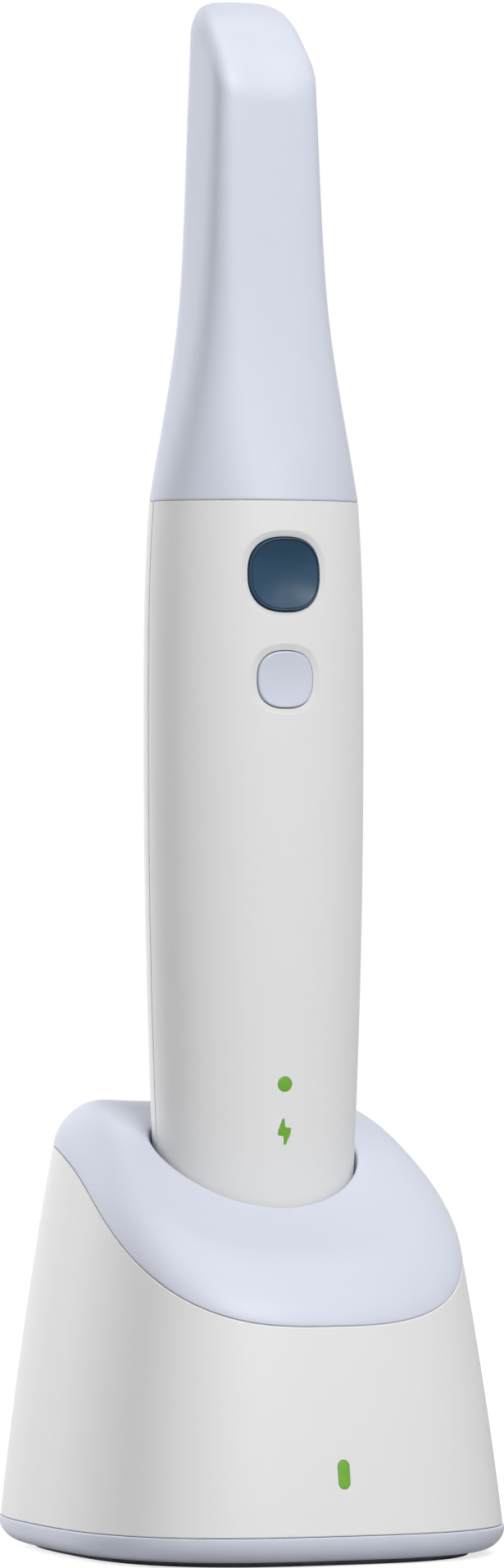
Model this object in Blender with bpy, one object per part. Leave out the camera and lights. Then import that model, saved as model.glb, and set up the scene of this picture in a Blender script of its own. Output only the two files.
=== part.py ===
"""Wireless intraoral scanner standing tip up in its charging base, as separate named pieces.

The origin is the centre of the base's footprint on the table, +Z is up and the buttons face -Y.
Pieces of the handpiece are parented to an empty at its foot, so their heights count from there.
"""

import math

import bmesh
import bpy
from mathutils import Matrix, Vector

MM = 0.001
GAP = 0.3 * MM

# Base: plan at the foot seam, draft of its walls and inward bow of the walls with height
BASE_HALF_WIDTH = 37.7 * MM
BASE_HALF_DEPTH = 42.0 * MM
BASE_PLAN_POWER = 2.9
BASE_SIDE_DRAFT = 0.106
BASE_FRONT_DRAFT = 0.146
BASE_REAR_DRAFT = 0.061
BASE_BOW = 0.6
BASE_POINTS = 40

# Seam between housing and bezel: height over the handpiece axis and how it rises to the rear
SEAM_Z = 60.4 * MM
SEAM_SPAN = 40.0 * MM
SEAM_RISE = 18.3 * MM
SEAM_CROWN = 11.8 * MM
SEAM_ROLL = 4.4 * MM
SEAM_GROOVE = 0.5 * MM

# Housing
HOUSING_WALL = 2.2 * MM
HOUSING_LEVELS = 4
BOSS_RADIUS = 3.0 * MM
BOSS_SIDE_INSET = 15.7 * MM
BOSS_END_INSET = 15.0 * MM
BOSS_HEIGHT = 12.0 * MM
BOSS_RIB = 1.4 * MM
BOSS_RIB_REACH = 7.6 * MM

# Bezel and its well
BEZEL_RISE = 6.5 * MM
BEZEL_EDGE_RADIUS = 6.0 * MM
BEZEL_DISH = 1.6 * MM
BEZEL_WALL = 2.0 * MM
BEZEL_LIP = 4.0 * MM
BEZEL_LIP_WALL = 1.6 * MM
WELL_GAP = 0.7 * MM
WELL_WALL = 1.8 * MM
WELL_RIM_RADIUS = 0.7 * MM

# Foot tray, rubber foot and what stands on the tray
TRAY_BOTTOM_Z = 0.9 * MM
TRAY_TOP_Z = 5.0 * MM
TRAY_EDGE_RADIUS = 3.8 * MM
TRAY_BULGE = 0.25 * MM
TRAY_FLOOR = 1.8 * MM
TRAY_LIP = 3.2 * MM
TRAY_LIP_WALL = 1.6 * MM
FOOT_RECESS = 1.1 * MM
FOOT_INSET = 4.6 * MM
POST_RADIUS = 2.4 * MM
POST_SPACING = 10.0 * MM
BALLAST_SIDE_INSET = 13.7 * MM
BALLAST_BOSS_SPACING = 6.0 * MM
BALLAST_THICKNESS = 4.0 * MM
BASE_BOARD_BOSS_INSET = 1.4 * MM
BASE_BOARD_THICKNESS = 1.6 * MM
BASE_BOARD_EDGE_CLEARANCE = 1.4 * MM
BASE_BOARD_POWER = 2.3
POST_HEIGHT = 5.4 * MM
BASE_SCREW_RADIUS = 1.2 * MM
BASE_SCREW_HEAD_RADIUS = 2.3 * MM
BASE_SCREW_HEAD = 0.9 * MM
BASE_SCREW_LENGTH = 9.0 * MM

# Power inlet at the rear and status light at the front of the base
INLET_HALF_WIDTH = 4.5 * MM
INLET_HALF_HEIGHT = 1.6 * MM
INLET_LENGTH = 7.4 * MM
INLET_WALL = 0.35 * MM
INLET_SINK = 0.4 * MM
INLET_TONGUE_HALF_WIDTH = 3.3 * MM
INLET_TONGUE_HALF_HEIGHT = 0.35 * MM
PILL_HALF_WIDTH = 1.05 * MM
PILL_HALF_HEIGHT = 2.3 * MM
PILL_Z = 14.9 * MM
PILL_FLANGE = 1.3 * MM
PILL_FLANGE_THICKNESS = 1.2 * MM

# Sprung charging pins and the block that holds them under the well
PIN_COUNT = 3
PIN_PITCH = 5.0 * MM
PIN_RADIUS = 0.9 * MM
PIN_FLANGE_RADIUS = 1.3 * MM
PIN_FLANGE = 1.0 * MM
PIN_TAIL = 6.0 * MM
PIN_TRAVEL = 0.8 * MM
PIN_CLEARANCE = 0.3 * MM
PIN_BLOCK_HALF_WIDTH = 9.0 * MM
PIN_BLOCK_HALF_DEPTH = 4.0 * MM

# Handle: half sizes at its foot, at its widest level and at the joint with the tip
HANDPIECE_Y = -1.6 * MM
HANDPIECE_FOOT_Z = 32.6 * MM
HANDLE_LENGTH = 140.0 * MM
HANDLE_WIDEST_DROP = 37.3 * MM
HANDLE_HALF_WIDTH = 18.65 * MM
HANDLE_HALF_DEPTH = 14.5 * MM
HEEL_HALF_WIDTH = 15.3 * MM
HEEL_HALF_DEPTH = 12.1 * MM
JOINT_HALF_WIDTH = 17.7 * MM
JOINT_HALF_DEPTH = 13.8 * MM
SHELL_WALL = 1.8 * MM
SHELL_PARTING = 0.3 * MM
SHELL_LEVELS = 11
SHELL_ARC_POINTS = 17

# Heel cap with its contacts and screws
HEEL_HEIGHT = 6.0 * MM
HEEL_RADIUS = 3.0 * MM
HEEL_PLUG = 9.7 * MM
CONTACT_RADIUS = 1.5 * MM
CONTACT_DEPTH = 2.7 * MM
CONTACT_RECESS = 0.05 * MM
HEEL_SCREW_X = 7.6 * MM
HEEL_SCREW_Y = 3.4 * MM
HEEL_SCREW_RADIUS = 0.9 * MM
HEEL_SCREW_HEAD_RADIUS = 1.7 * MM
HEEL_SCREW_HEAD = 1.2 * MM
HEEL_SCREW_SINK = 0.4 * MM

# Buttons
BUTTON_POWER = 2.7
BUTTON_CLEARANCE = 0.3 * MM
BUTTON_FLANGE = 1.0 * MM
BUTTON_FLANGE_THICKNESS = 0.8 * MM
BUTTON_TRAVEL = 0.6 * MM
BUTTON_STEM_RADIUS = 1.5 * MM
BUTTON_STEM_CLEARANCE = 0.15 * MM
BUTTON_RIM_SINK = 0.35 * MM
BUTTON_RIM_CHAMFER = 0.35 * MM
SCAN_BUTTON_DROP = 12.1 * MM
SCAN_BUTTON_HALF_WIDTH = 6.35 * MM
SCAN_BUTTON_HALF_HEIGHT = 6.15 * MM
SCAN_BUTTON_DISH = 1.1 * MM
SCAN_RECESS_BORDER = 0.75 * MM
MODE_BUTTON_DROP = 29.3 * MM
MODE_BUTTON_HALF_WIDTH = 4.9 * MM
MODE_BUTTON_HALF_HEIGHT = 4.75 * MM
MODE_BUTTON_DISH = 0.4 * MM
MODE_RECESS_BORDER = 0.75 * MM
RECESS_DEPTH = 0.55 * MM

# Status dot and charge sign on the handle
DOT_LEVEL = 44.5 * MM
DOT_RADIUS = 1.2 * MM
SIGN_LEVEL = 36.7 * MM
SIGN_WIDTH = 2.3 * MM
SIGN_HEIGHT = 4.2 * MM
LIGHT_CLEARANCE = 0.2 * MM
SIGN_OUTLINE = (
    (0.10, 0.50),
    (-0.50, -0.08),
    (-0.08, -0.08),
    (-0.14, -0.50),
    (0.50, 0.10),
    (0.05, 0.10),
)

# Inner frame of the handle and what it carries
FRAME_WEB_BACK = -5.2 * MM
FRAME_WEB = 1.0 * MM
FRAME_RAIL = 1.4 * MM
FRAME_RAIL_REAR = 5.0 * MM
FRAME_PLATE = 2.0 * MM
BATTERY_RADIUS = 8.2 * MM
BATTERY_HEADROOM = 15.4 * MM
BATTERY_CAP = 1.5 * MM
BATTERY_CAP_RADIUS = 3.2 * MM
BATTERY_Y = 2.6 * MM
CHARGE_BOARD_THICKNESS = 1.2 * MM
MAIN_BOARD_THICKNESS = 1.0 * MM
MAIN_BOARD_HALF_WIDTH = 8.5 * MM
MAIN_BOARD_START = 24.0 * MM
SWITCH_HALF_WIDTH = 2.5 * MM
SWITCH_HEIGHT = 1.2 * MM
RADIO_HALF_WIDTH = 6.0 * MM
RADIO_HALF_LENGTH = 8.0 * MM
RADIO_HEIGHT = 1.8 * MM

# Optics
PROJECTOR_LENGTH = 13.7 * MM
PROJECTOR_DEPTH = 9.8 * MM
CAMERA_BLOCK_LENGTH = 18.7 * MM
CAMERA_BLOCK_DEPTH = 11.4 * MM
CAMERA_BORE_DEPTH = 6.0 * MM
CAMERA_BOARD_THICKNESS = 1.0 * MM
HEAT_SINK_PLATE = 1.0 * MM
HEAT_SINK_FIN = 1.6 * MM
HEAT_SINK_FINS = 5
HEAT_SINK_HALF_WIDTH = 7.0 * MM
LENS_RADIUS = 5.0 * MM
LENS_BORE_RADIUS = 3.9 * MM
NOSE_FLANGE = 4.3 * MM
NOSE_DROP = 38.0 * MM
NOSE_SHOULDER = 9.0 * MM
NOSE_WALL = 1.4 * MM
NOSE_CLEARANCE = 0.5 * MM
NOSE_POINTS = 24
WINDOW_THICKNESS = 1.2 * MM
WINDOW_LEDGE = 0.7 * MM
SEAL_LEVEL = 5.0 * MM
SEAL_WIDTH = 1.6 * MM
SEAL_GROOVE = 0.9 * MM

# Tip sleeve: cone from the joint, slow taper to the head, sloping hood over the mirror
TIP_LENGTH = 83.0 * MM
TIP_HEAD_DROP = 20.0 * MM
TIP_BEND_DROP = 50.0 * MM
TIP_CONE_DRAFT = 0.25
TIP_CONE_HALF_WIDTH = 17.34 * MM
TIP_CONE_HALF_DEPTH = 13.2 * MM
TIP_CONE_DEPTH_DRAFT = 0.187
TIP_HEAD_HALF_WIDTH = 9.1 * MM
TIP_HEAD_FRONT = 7.57 * MM
TIP_HEAD_REAR = 8.9 * MM
TIP_HEAD_DRAFT = 0.034
TIP_REAR_DRAFT = 0.010
TIP_BLEND = 1.56 * MM
TIP_HEAD_POWER = 5.3
TIP_WALL = 1.5 * MM
TIP_POINTS = 32
TIP_TOP_RADIUS = 3.4 * MM
HOOD_DROP = 13.6 * MM
HOOD_BLEND = 0.8 * MM
SCAN_WINDOW_DROP = 13.0 * MM
SCAN_WINDOW_HALF_WIDTH = 6.2 * MM
SCAN_WINDOW_HALF_HEIGHT = 7.0 * MM
MIRROR_HALF_WIDTH = 5.9 * MM
MIRROR_LENGTH = 10.4 * MM
MIRROR_THICKNESS = 1.2 * MM
MIRROR_RISE = 3.6 * MM
MIRROR_BED = 0.55 * MM

MATERIALS = {
    "lavender_plastic": ((0.66, 0.68, 0.77), 0.42, 0.0),
    "white_plastic": ((0.82, 0.82, 0.82), 0.40, 0.0),
    "navy_plastic": ((0.030, 0.070, 0.125), 0.25, 0.0),
    "green_light": ((0.16, 0.42, 0.06), 0.30, 0.0),
    "dark_rubber": ((0.045, 0.050, 0.060), 0.75, 0.0),
    "grey_plastic": ((0.20, 0.21, 0.22), 0.50, 0.0),
    "black_plastic": ((0.02, 0.02, 0.022), 0.45, 0.0),
    "board": ((0.02, 0.14, 0.06), 0.45, 0.0),
    "steel": ((0.55, 0.55, 0.56), 0.35, 1.0),
    "aluminium": ((0.70, 0.70, 0.71), 0.40, 1.0),
    "gold": ((0.83, 0.62, 0.25), 0.25, 1.0),
    "battery_wrap": ((0.05, 0.16, 0.34), 0.35, 0.0),
    "mirror_glass": ((0.90, 0.90, 0.90), 0.05, 1.0),
    "window_glass": ((0.75, 0.80, 0.82), 0.05, 0.0),
}


def clear_scene():
    """Remove the startup scene's objects."""
    for item in list(bpy.data.objects):
        bpy.data.objects.remove(item, do_unlink=True)


def material(name):
    """The Principled material of this name, made on first use."""
    found = bpy.data.materials.get(name)
    if found:
        return found
    colour, roughness, metallic = MATERIALS[name]
    made = bpy.data.materials.new(name)
    made.use_nodes = True
    shader = made.node_tree.nodes["Principled BSDF"]
    shader.inputs["Base Color"].default_value = (*colour, 1.0)
    shader.inputs["Roughness"].default_value = roughness
    shader.inputs["Metallic"].default_value = metallic
    return made


def link(name, mesh, finish, parent=None, location=(0.0, 0.0, 0.0)):
    """Put a mesh in the scene as a named piece with its material."""
    piece = bpy.data.objects.new(name, mesh)
    bpy.context.scene.collection.objects.link(piece)
    piece.location = location
    piece.parent = parent
    if finish:
        mesh.materials.append(material(finish))
    return piece


def finish_mesh(name, shape):
    """Turn a bmesh into a mesh that is shaded smooth with its hard edges kept."""
    bmesh.ops.recalc_face_normals(shape, faces=shape.faces)
    mesh = bpy.data.meshes.new(name)
    shape.to_mesh(mesh)
    shape.free()
    mesh.shade_smooth()
    mesh.set_sharp_from_angle(angle=math.radians(32.0))
    return mesh


def loft(name, rings, tube=False):
    """Skin rings of equal count into a solid: capped at both ends, or joined round as a tube."""
    shape = bmesh.new()
    rows = [[shape.verts.new(point) for point in ring] for ring in rings]
    pairs = list(zip(rows, rows[1:]))
    if tube:
        pairs.append((rows[-1], rows[0]))
    for low, high in pairs:
        for index in range(len(low)):
            after = (index + 1) % len(low)
            shape.faces.new((low[index], low[after], high[after], high[index]))
    if not tube:
        shape.faces.new(rows[0])
        shape.faces.new(rows[-1])
    return finish_mesh(name, shape)


def circle(radius, height, count=24):
    """Ring of points round the Z axis."""
    turn = math.tau / count
    return [
        Vector((radius * math.cos(i * turn), radius * math.sin(i * turn), height))
        for i in range(count)
    ]


def turned(name, profile, count=24):
    """Solid of revolution about Z from (radius, height) pairs."""
    return loft(name, [circle(radius, height, count) for radius, height in profile])


def block(name, low, high):
    """Rectangular solid between two corners."""
    shape = bmesh.new()
    bmesh.ops.create_cube(shape, size=1.0)
    low, high = Vector(low), Vector(high)
    size = high - low
    scale = Matrix.Diagonal((size.x, size.y, size.z, 1.0))
    bmesh.ops.transform(shape, matrix=Matrix.Translation((low + high) / 2) @ scale, verts=shape.verts)
    return finish_mesh(name, shape)


def power_point(turn, power):
    """Unit point of a superellipse at a turn from +X, counterclockwise."""
    cosine, sine = math.cos(turn), math.sin(turn)
    x = math.copysign(abs(cosine) ** (2.0 / power), cosine)
    y = math.copysign(abs(sine) ** (2.0 / power), sine)
    return x, y


def squircle(half_width, half_height, power, count=24):
    """Closed outline of a superellipse as pairs."""
    step = math.tau / count
    units = [power_point((i + 0.5) * step, power) for i in range(count)]
    return [(x * half_width, y * half_height) for x, y in units]


def along_y(outline, depth, level=0.0):
    """Stand an outline upright, facing -Y, at one depth or at a depth that is a function of x and z."""
    points = []
    for x, z in outline:
        y = depth(x, level + z) if callable(depth) else depth
        points.append(Vector((x, y, level + z)))
    return points


def modify(piece, operation, helper):
    """Boolean a helper solid into a piece, and hide the helper."""
    helper.hide_render = True
    helper.display_type = "WIRE"
    modifier = piece.modifiers.new(helper.name, "BOOLEAN")
    modifier.operation = operation
    modifier.object = helper


def cut(piece, name, mesh, location=(0.0, 0.0, 0.0)):
    """Cut a helper mesh out of a piece."""
    modify(piece, "DIFFERENCE", link(name, mesh, None, piece.parent, location))


def fuse(piece, name, mesh, location=(0.0, 0.0, 0.0)):
    """Fuse a helper mesh to a piece."""
    modify(piece, "UNION", link(name, mesh, None, piece.parent, location))


# Forms shared by several pieces

def base_point(turn, z, inset=0.0):
    """Point of the base's tapered outer form at a turn and height, moved inwards by an inset."""
    height = max(z - TRAY_TOP_Z, 0.0)
    bow = BASE_BOW * height * height
    half_width = BASE_HALF_WIDTH - BASE_SIDE_DRAFT * height - bow - inset
    x, y = power_point(turn, BASE_PLAN_POWER)
    draft = BASE_FRONT_DRAFT if y < 0.0 else BASE_REAR_DRAFT
    half_depth = BASE_HALF_DEPTH - draft * height - bow - inset
    return x * half_width, y * half_depth


def base_turns():
    """Turns of the base's rings."""
    return [i * math.tau / BASE_POINTS for i in range(BASE_POINTS)]


def base_ring(z, inset=0.0):
    """Level ring of the base's outer form."""
    return [Vector((*base_point(turn, z, inset), z)) for turn in base_turns()]


def seam_height(y):
    """Height of the seam under the bezel at a depth."""
    t = (y - HANDPIECE_Y) / SEAM_SPAN
    return SEAM_Z + SEAM_RISE * t - SEAM_CROWN * t * t - SEAM_ROLL * t ** 3


def seam_point(turn, rise=0.0, inset=0.0):
    """Point of the outer form where it meets the seam, raised by some height."""
    z = SEAM_Z
    for _ in range(12):
        x, y = base_point(turn, z, inset)
        z = seam_height(y) + rise
    return Vector((x, y, z))


def seam_ring(rise=0.0, inset=0.0):
    """Ring along the seam, raised by some height."""
    return [seam_point(turn, rise, inset) for turn in base_turns()]


def front_wall_y(z):
    """Depth of the base's front face on its centre line."""
    return base_point(-math.pi / 2, z)[1]


def handle_half(level):
    """Half width and half depth of the handle at a level above its foot."""
    if level < HANDLE_WIDEST_LEVEL:
        fall = ((HANDLE_WIDEST_LEVEL - level) / HANDLE_WIDEST_LEVEL) ** 2
        width, depth = HEEL_HALF_WIDTH, HEEL_HALF_DEPTH
    else:
        fall = ((level - HANDLE_WIDEST_LEVEL) / (HANDLE_LENGTH - HANDLE_WIDEST_LEVEL)) ** 3
        width, depth = JOINT_HALF_WIDTH, JOINT_HALF_DEPTH
    half_width = HANDLE_HALF_WIDTH - (HANDLE_HALF_WIDTH - width) * fall
    half_depth = HANDLE_HALF_DEPTH - (HANDLE_HALF_DEPTH - depth) * fall
    return half_width, half_depth


def handle_front(x, level, inset=0.0):
    """Depth of the handle's front surface at a place, moved inwards by an inset."""
    half_width, half_depth = handle_half(level)
    share = min(abs(x) / (half_width - inset), 0.999)
    return -(half_depth - inset) * math.sqrt(1.0 - share * share)


def nose_turns():
    """Turns of the rings of the nose and of what joins it."""
    return [i * math.tau / NOSE_POINTS for i in range(NOSE_POINTS)]


def handle_ring(level, inset):
    """Ring of the handle's section at a level."""
    half_width, half_depth = handle_half(level)
    return [
        Vector(((half_width - inset) * math.cos(t), (half_depth - inset) * math.sin(t), level))
        for t in nose_turns()
    ]


def tapers(level, cone_size, cone_draft, head_size, head_draft):
    """Two straight tapers, from the joint and to the head, run into each other with a soft bend."""
    cone = cone_size - cone_draft * (level - HANDLE_LENGTH)
    neck = head_size + head_draft * (TIP_HEAD_LEVEL - level)
    return (cone + neck) / 2 + math.hypot((cone - neck) / 2, TIP_BLEND)


def soft_ramp(distance, blend):
    """Zero before a bend and the distance after it, with the bend softened."""
    return (distance + math.hypot(distance, blend)) / 2


def round_over(level, top, radius):
    """Inset of a wall that is rounded over below a top."""
    above = min(max(level - (top - radius), 0.0), radius)
    return radius - math.sqrt(radius * radius - above * above)


def tip_section(level, wall=0.0):
    """Half width, front depth, rear depth and power of the tip at a level, inside a wall."""
    width = tapers(level, TIP_CONE_HALF_WIDTH, TIP_CONE_DRAFT, TIP_HEAD_HALF_WIDTH, TIP_HEAD_DRAFT)
    front = tapers(level, TIP_CONE_HALF_DEPTH, TIP_CONE_DEPTH_DRAFT, TIP_HEAD_FRONT, TIP_HEAD_DRAFT)
    rear = tapers(level, TIP_CONE_HALF_DEPTH, TIP_CONE_DEPTH_DRAFT, TIP_HEAD_REAR, TIP_REAR_DRAFT)
    rounded = round_over(level, TIP_TOP, TIP_TOP_RADIUS)
    slope = soft_ramp(level - HOOD_LEVEL + wall * (math.sqrt(2.0) - 1.0), HOOD_BLEND)
    share = min(max((level - HANDLE_LENGTH) / (TIP_HEAD_LEVEL - HANDLE_LENGTH), 0.0), 1.0)
    power = 2.0 + (TIP_HEAD_POWER - 2.0) * share
    return width - rounded - wall, front - slope - wall, rear - rounded - wall, power


def tip_turns():
    """Turns of the rings of the tip."""
    return [i * math.tau / TIP_POINTS for i in range(TIP_POINTS)]


def tip_ring(level, wall=0.0, turns=None):
    """Ring of the tip's section at a level, inside a wall."""
    half_width, front, rear, power = tip_section(level, wall)
    half_depth = (front + rear) / 2
    centre = (rear - front) / 2
    points = []
    for turn in turns or tip_turns():
        x, y = power_point(turn, power)
        points.append(Vector((x * half_width, centre + y * half_depth, level)))
    return points


def levels(low, high, count):
    """Evenly spaced heights from low to high."""
    return [low + (high - low) * i / (count - 1) for i in range(count)]


# Heights that several base pieces share
TRAY_FLOOR_Z = TRAY_BOTTOM_Z + FOOT_RECESS + TRAY_FLOOR
BASE_BOARD_Z = TRAY_FLOOR_Z + POST_HEIGHT + GAP
BASE_BOARD_TOP_Z = BASE_BOARD_Z + BASE_BOARD_THICKNESS
WELL_FLOOR_Z = HANDPIECE_FOOT_Z - GAP
WELL_UNDER_Z = WELL_FLOOR_Z - WELL_WALL
PIN_XS = [(i - (PIN_COUNT - 1) / 2) * PIN_PITCH for i in range(PIN_COUNT)]
BOSS_X = BASE_HALF_WIDTH - BOSS_SIDE_INSET
BOSS_Y = BASE_HALF_DEPTH - BOSS_END_INSET
BOSS_PLACES = [(x, y) for x in (-BOSS_X, BOSS_X) for y in (-BOSS_Y, BOSS_Y)]
POST_X = BOSS_X - POST_SPACING
BALLAST_HALF_WIDTH = BASE_HALF_WIDTH - BALLAST_SIDE_INSET
BALLAST_HALF_DEPTH = BOSS_Y - BALLAST_BOSS_SPACING
BASE_BOARD_HALF_WIDTH = BOSS_X - BASE_BOARD_BOSS_INSET

# Levels that several handpiece pieces share
HANDLE_WIDEST_LEVEL = HANDLE_LENGTH - HANDLE_WIDEST_DROP
SCAN_BUTTON_LEVEL = HANDLE_LENGTH - SCAN_BUTTON_DROP
MODE_BUTTON_LEVEL = HANDLE_LENGTH - MODE_BUTTON_DROP
TIP_TOP = HANDLE_LENGTH + TIP_LENGTH
TIP_HEAD_LEVEL = TIP_TOP - TIP_HEAD_DROP
TIP_BEND_LEVEL = TIP_TOP - TIP_BEND_DROP
HOOD_LEVEL = TIP_TOP - HOOD_DROP
SCAN_WINDOW_LEVEL = TIP_TOP - SCAN_WINDOW_DROP
NOSE_TOP = TIP_TOP - NOSE_DROP
PLUG_TOP = HEEL_HEIGHT + HEEL_PLUG
FRAME_START = PLUG_TOP + GAP
FLANGE_START = HANDLE_LENGTH - NOSE_FLANGE
FRAME_END = FLANGE_START - GAP
FRAME_WEB_FRONT = FRAME_WEB_BACK - FRAME_WEB
FRAME_HALF_WIDTH = BATTERY_RADIUS + GAP + FRAME_RAIL
BOARD_BACK = FRAME_WEB_FRONT - GAP
BOARD_FRONT = BOARD_BACK - MAIN_BOARD_THICKNESS
SWITCH_TOP = BOARD_FRONT - GAP - SWITCH_HEIGHT
CHARGE_BOARD_LEVEL = FRAME_START + FRAME_PLATE + GAP
BATTERY_LEVEL = CHARGE_BOARD_LEVEL + CHARGE_BOARD_THICKNESS + GAP
CAMERA_BLOCK_TOP = FRAME_END - FRAME_PLATE - GAP
CAMERA_BLOCK_LEVEL = CAMERA_BLOCK_TOP - CAMERA_BLOCK_LENGTH
PROJECTOR_LEVEL = CAMERA_BLOCK_LEVEL - GAP - PROJECTOR_LENGTH
BATTERY_LENGTH = PROJECTOR_LEVEL - BATTERY_HEADROOM - BATTERY_LEVEL
RADIO_LEVEL = (DOT_LEVEL + MODE_BUTTON_LEVEL) / 2
OPTICS_FRONT = FRAME_WEB_BACK + GAP
LENS_Y = (TIP_HEAD_REAR - TIP_HEAD_FRONT) / 4
HEEL_SCREW_PLACES = ((-HEEL_SCREW_X, HEEL_SCREW_Y), (HEEL_SCREW_X, -HEEL_SCREW_Y))


# Base pieces

def make_rubber_foot():
    """Soft foot glued into the recess under the tray."""
    rings = [
        base_ring(0.0, FOOT_INSET + 2 * GAP),
        base_ring(TRAY_BOTTOM_Z, FOOT_INSET + GAP),
        base_ring(TRAY_BOTTOM_Z + FOOT_RECESS - GAP, FOOT_INSET + GAP),
    ]
    link("rubber_foot", loft("rubber_foot", rings), "dark_rubber")


def make_tray():
    """Foot tray: recessed underside, bulging rounded edge and a lip that enters the housing."""
    rings = [
        base_ring(TRAY_BOTTOM_Z + FOOT_RECESS, FOOT_INSET),
        base_ring(TRAY_BOTTOM_Z, FOOT_INSET),
    ]
    steps = 3
    for i in range(steps + 1):
        turn = math.pi / 2 * i / steps
        z = TRAY_BOTTOM_Z + TRAY_EDGE_RADIUS * (1.0 - math.cos(turn))
        inset = TRAY_EDGE_RADIUS * (1.0 - math.sin(turn)) - TRAY_BULGE
        rings.append(base_ring(z, inset))
    lip = HOUSING_WALL + GAP
    rings += [
        base_ring(TRAY_TOP_Z, 0.0),
        base_ring(TRAY_TOP_Z, lip),
        base_ring(TRAY_TOP_Z + TRAY_LIP, lip),
        base_ring(TRAY_TOP_Z + TRAY_LIP, lip + TRAY_LIP_WALL),
        base_ring(TRAY_FLOOR_Z, lip + TRAY_LIP_WALL),
    ]
    tray = link("base_tray", loft("base_tray", rings), "lavender_plastic")
    for i, (side_x, side_y) in enumerate(((-1, -1), (1, -1), (1, 1), (-1, 1)), 1):
        post = turned("tray_post", ((POST_RADIUS, -TRAY_FLOOR / 2), (POST_RADIUS, POST_HEIGHT)), 12)
        fuse(tray, f"tray_post_{i}", post, (side_x * POST_X, side_y * BOSS_Y, TRAY_FLOOR_Z))
    for i, (x, y) in enumerate(BOSS_PLACES, 1):
        bottom = TRAY_BOTTOM_Z + FOOT_RECESS
        head = BASE_SCREW_HEAD_RADIUS + GAP
        shank = BASE_SCREW_RADIUS + GAP
        seat = BASE_SCREW_HEAD + 2 * GAP
        profile = ((head, -MM), (head, seat), (shank, seat), (shank, TRAY_FLOOR + MM))
        cut(tray, f"tray_screw_hole_{i}", turned("tray_screw_hole", profile, 12), (x, y, bottom))


def make_base_screws():
    """Screws that pull the housing's bosses down on the tray, hidden by the rubber foot."""
    profile = (
        (BASE_SCREW_HEAD_RADIUS, 0.0),
        (BASE_SCREW_HEAD_RADIUS, BASE_SCREW_HEAD),
        (BASE_SCREW_RADIUS, BASE_SCREW_HEAD),
        (BASE_SCREW_RADIUS, BASE_SCREW_LENGTH),
    )
    mesh = turned("base_screw", profile, 12)
    mesh.materials.append(material("steel"))
    for i, (x, y) in enumerate(BOSS_PLACES, 1):
        link(f"base_screw_{i}", mesh, None, None, (x, y, TRAY_BOTTOM_Z + FOOT_RECESS + GAP))


def make_housing():
    """White tapered shell between the tray and the bezel, with screw bosses inside."""
    low = TRAY_TOP_Z + GAP
    shares = levels(0.0, 1.0, HOUSING_LEVELS)

    def wall_ring(share, inset):
        points = []
        for turn in base_turns():
            top = seam_point(turn, -SEAM_GROOVE / 2, inset).z
            z = low + (top - low) * share
            points.append(Vector((*base_point(turn, z, inset), z)))
        return points

    rings = [wall_ring(share, 0.0) for share in shares]
    rings += [wall_ring(share, HOUSING_WALL) for share in reversed(shares)]
    housing = link("base_housing", loft("base_housing", rings, tube=True), "white_plastic")
    start = TRAY_FLOOR_Z + GAP
    above_lip = TRAY_TOP_Z + TRAY_LIP + GAP - start
    for i, (x, y) in enumerate(BOSS_PLACES, 1):
        boss = turned("screw_boss", ((BOSS_RADIUS, 0.0), (BOSS_RADIUS, BOSS_HEIGHT)), 16)
        fuse(housing, f"screw_boss_{i}", boss, (x, y, start))
        low_corner = (0.0, -BOSS_RIB / 2, above_lip)
        high_corner = (BOSS_RIB_REACH, BOSS_RIB / 2, BOSS_HEIGHT - MM / 2)
        rib = block("boss_rib", low_corner, high_corner)
        helper = link(f"boss_rib_{i}", rib, None, None, (x, y, start))
        helper.rotation_euler = (0.0, 0.0, math.atan2(y, x))
        modify(housing, "UNION", helper)
        hole = BASE_SCREW_RADIUS + GAP / 2
        mesh = turned("boss_hole", ((hole, -MM), (hole, BOSS_HEIGHT - MM)), 16)
        cut(housing, f"boss_hole_{i}", mesh, (x, y, start))
    return housing


def inlet_outline(grow):
    """Rounded slot outline of the power inlet, grown by a margin."""
    return slot_outline(INLET_HALF_WIDTH + grow, INLET_HALF_HEIGHT + grow)


def slot_outline(half_long, half_short, steps=6, upright=False):
    """Slot with round ends."""
    straight = half_long - half_short
    points = []
    for side, start in ((1, -math.pi / 2), (-1, math.pi / 2)):
        for i in range(steps + 1):
            turn = start + math.pi * i / steps
            points.append((side * straight + half_short * math.cos(turn), half_short * math.sin(turn)))
    return [(-z, x) for x, z in points] if upright else points


def make_power_inlet(housing):
    """Small round-ended power socket on the board, reaching into a slot in the rear wall."""
    z = BASE_BOARD_TOP_Z + GAP + INLET_HALF_HEIGHT
    rear = base_point(math.pi / 2, z)[1]
    mouth = rear - INLET_SINK
    inner = slot_outline(INLET_HALF_WIDTH - INLET_WALL, INLET_HALF_HEIGHT - INLET_WALL)
    outer = inlet_outline(0.0)
    floor = mouth - INLET_LENGTH + MM
    rings = [
        along_y(outer, mouth - INLET_LENGTH, z),
        along_y(outer, mouth, z),
        along_y(inner, mouth, z),
        along_y(inner, floor, z),
    ]
    inlet = link("power_inlet", loft("power_inlet", rings), "steel")
    low = (-INLET_TONGUE_HALF_WIDTH, floor - INLET_WALL, z - INLET_TONGUE_HALF_HEIGHT)
    high = (INLET_TONGUE_HALF_WIDTH, mouth - MM, z + INLET_TONGUE_HALF_HEIGHT)
    fuse(inlet, "inlet_tongue", block("inlet_tongue", low, high))
    slot = inlet_outline(GAP)
    slot_rings = [along_y(slot, y, z) for y in (rear - 4 * MM, rear + 2 * MM)]
    cut(housing, "inlet_slot", loft("inlet_slot", slot_rings))


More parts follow.
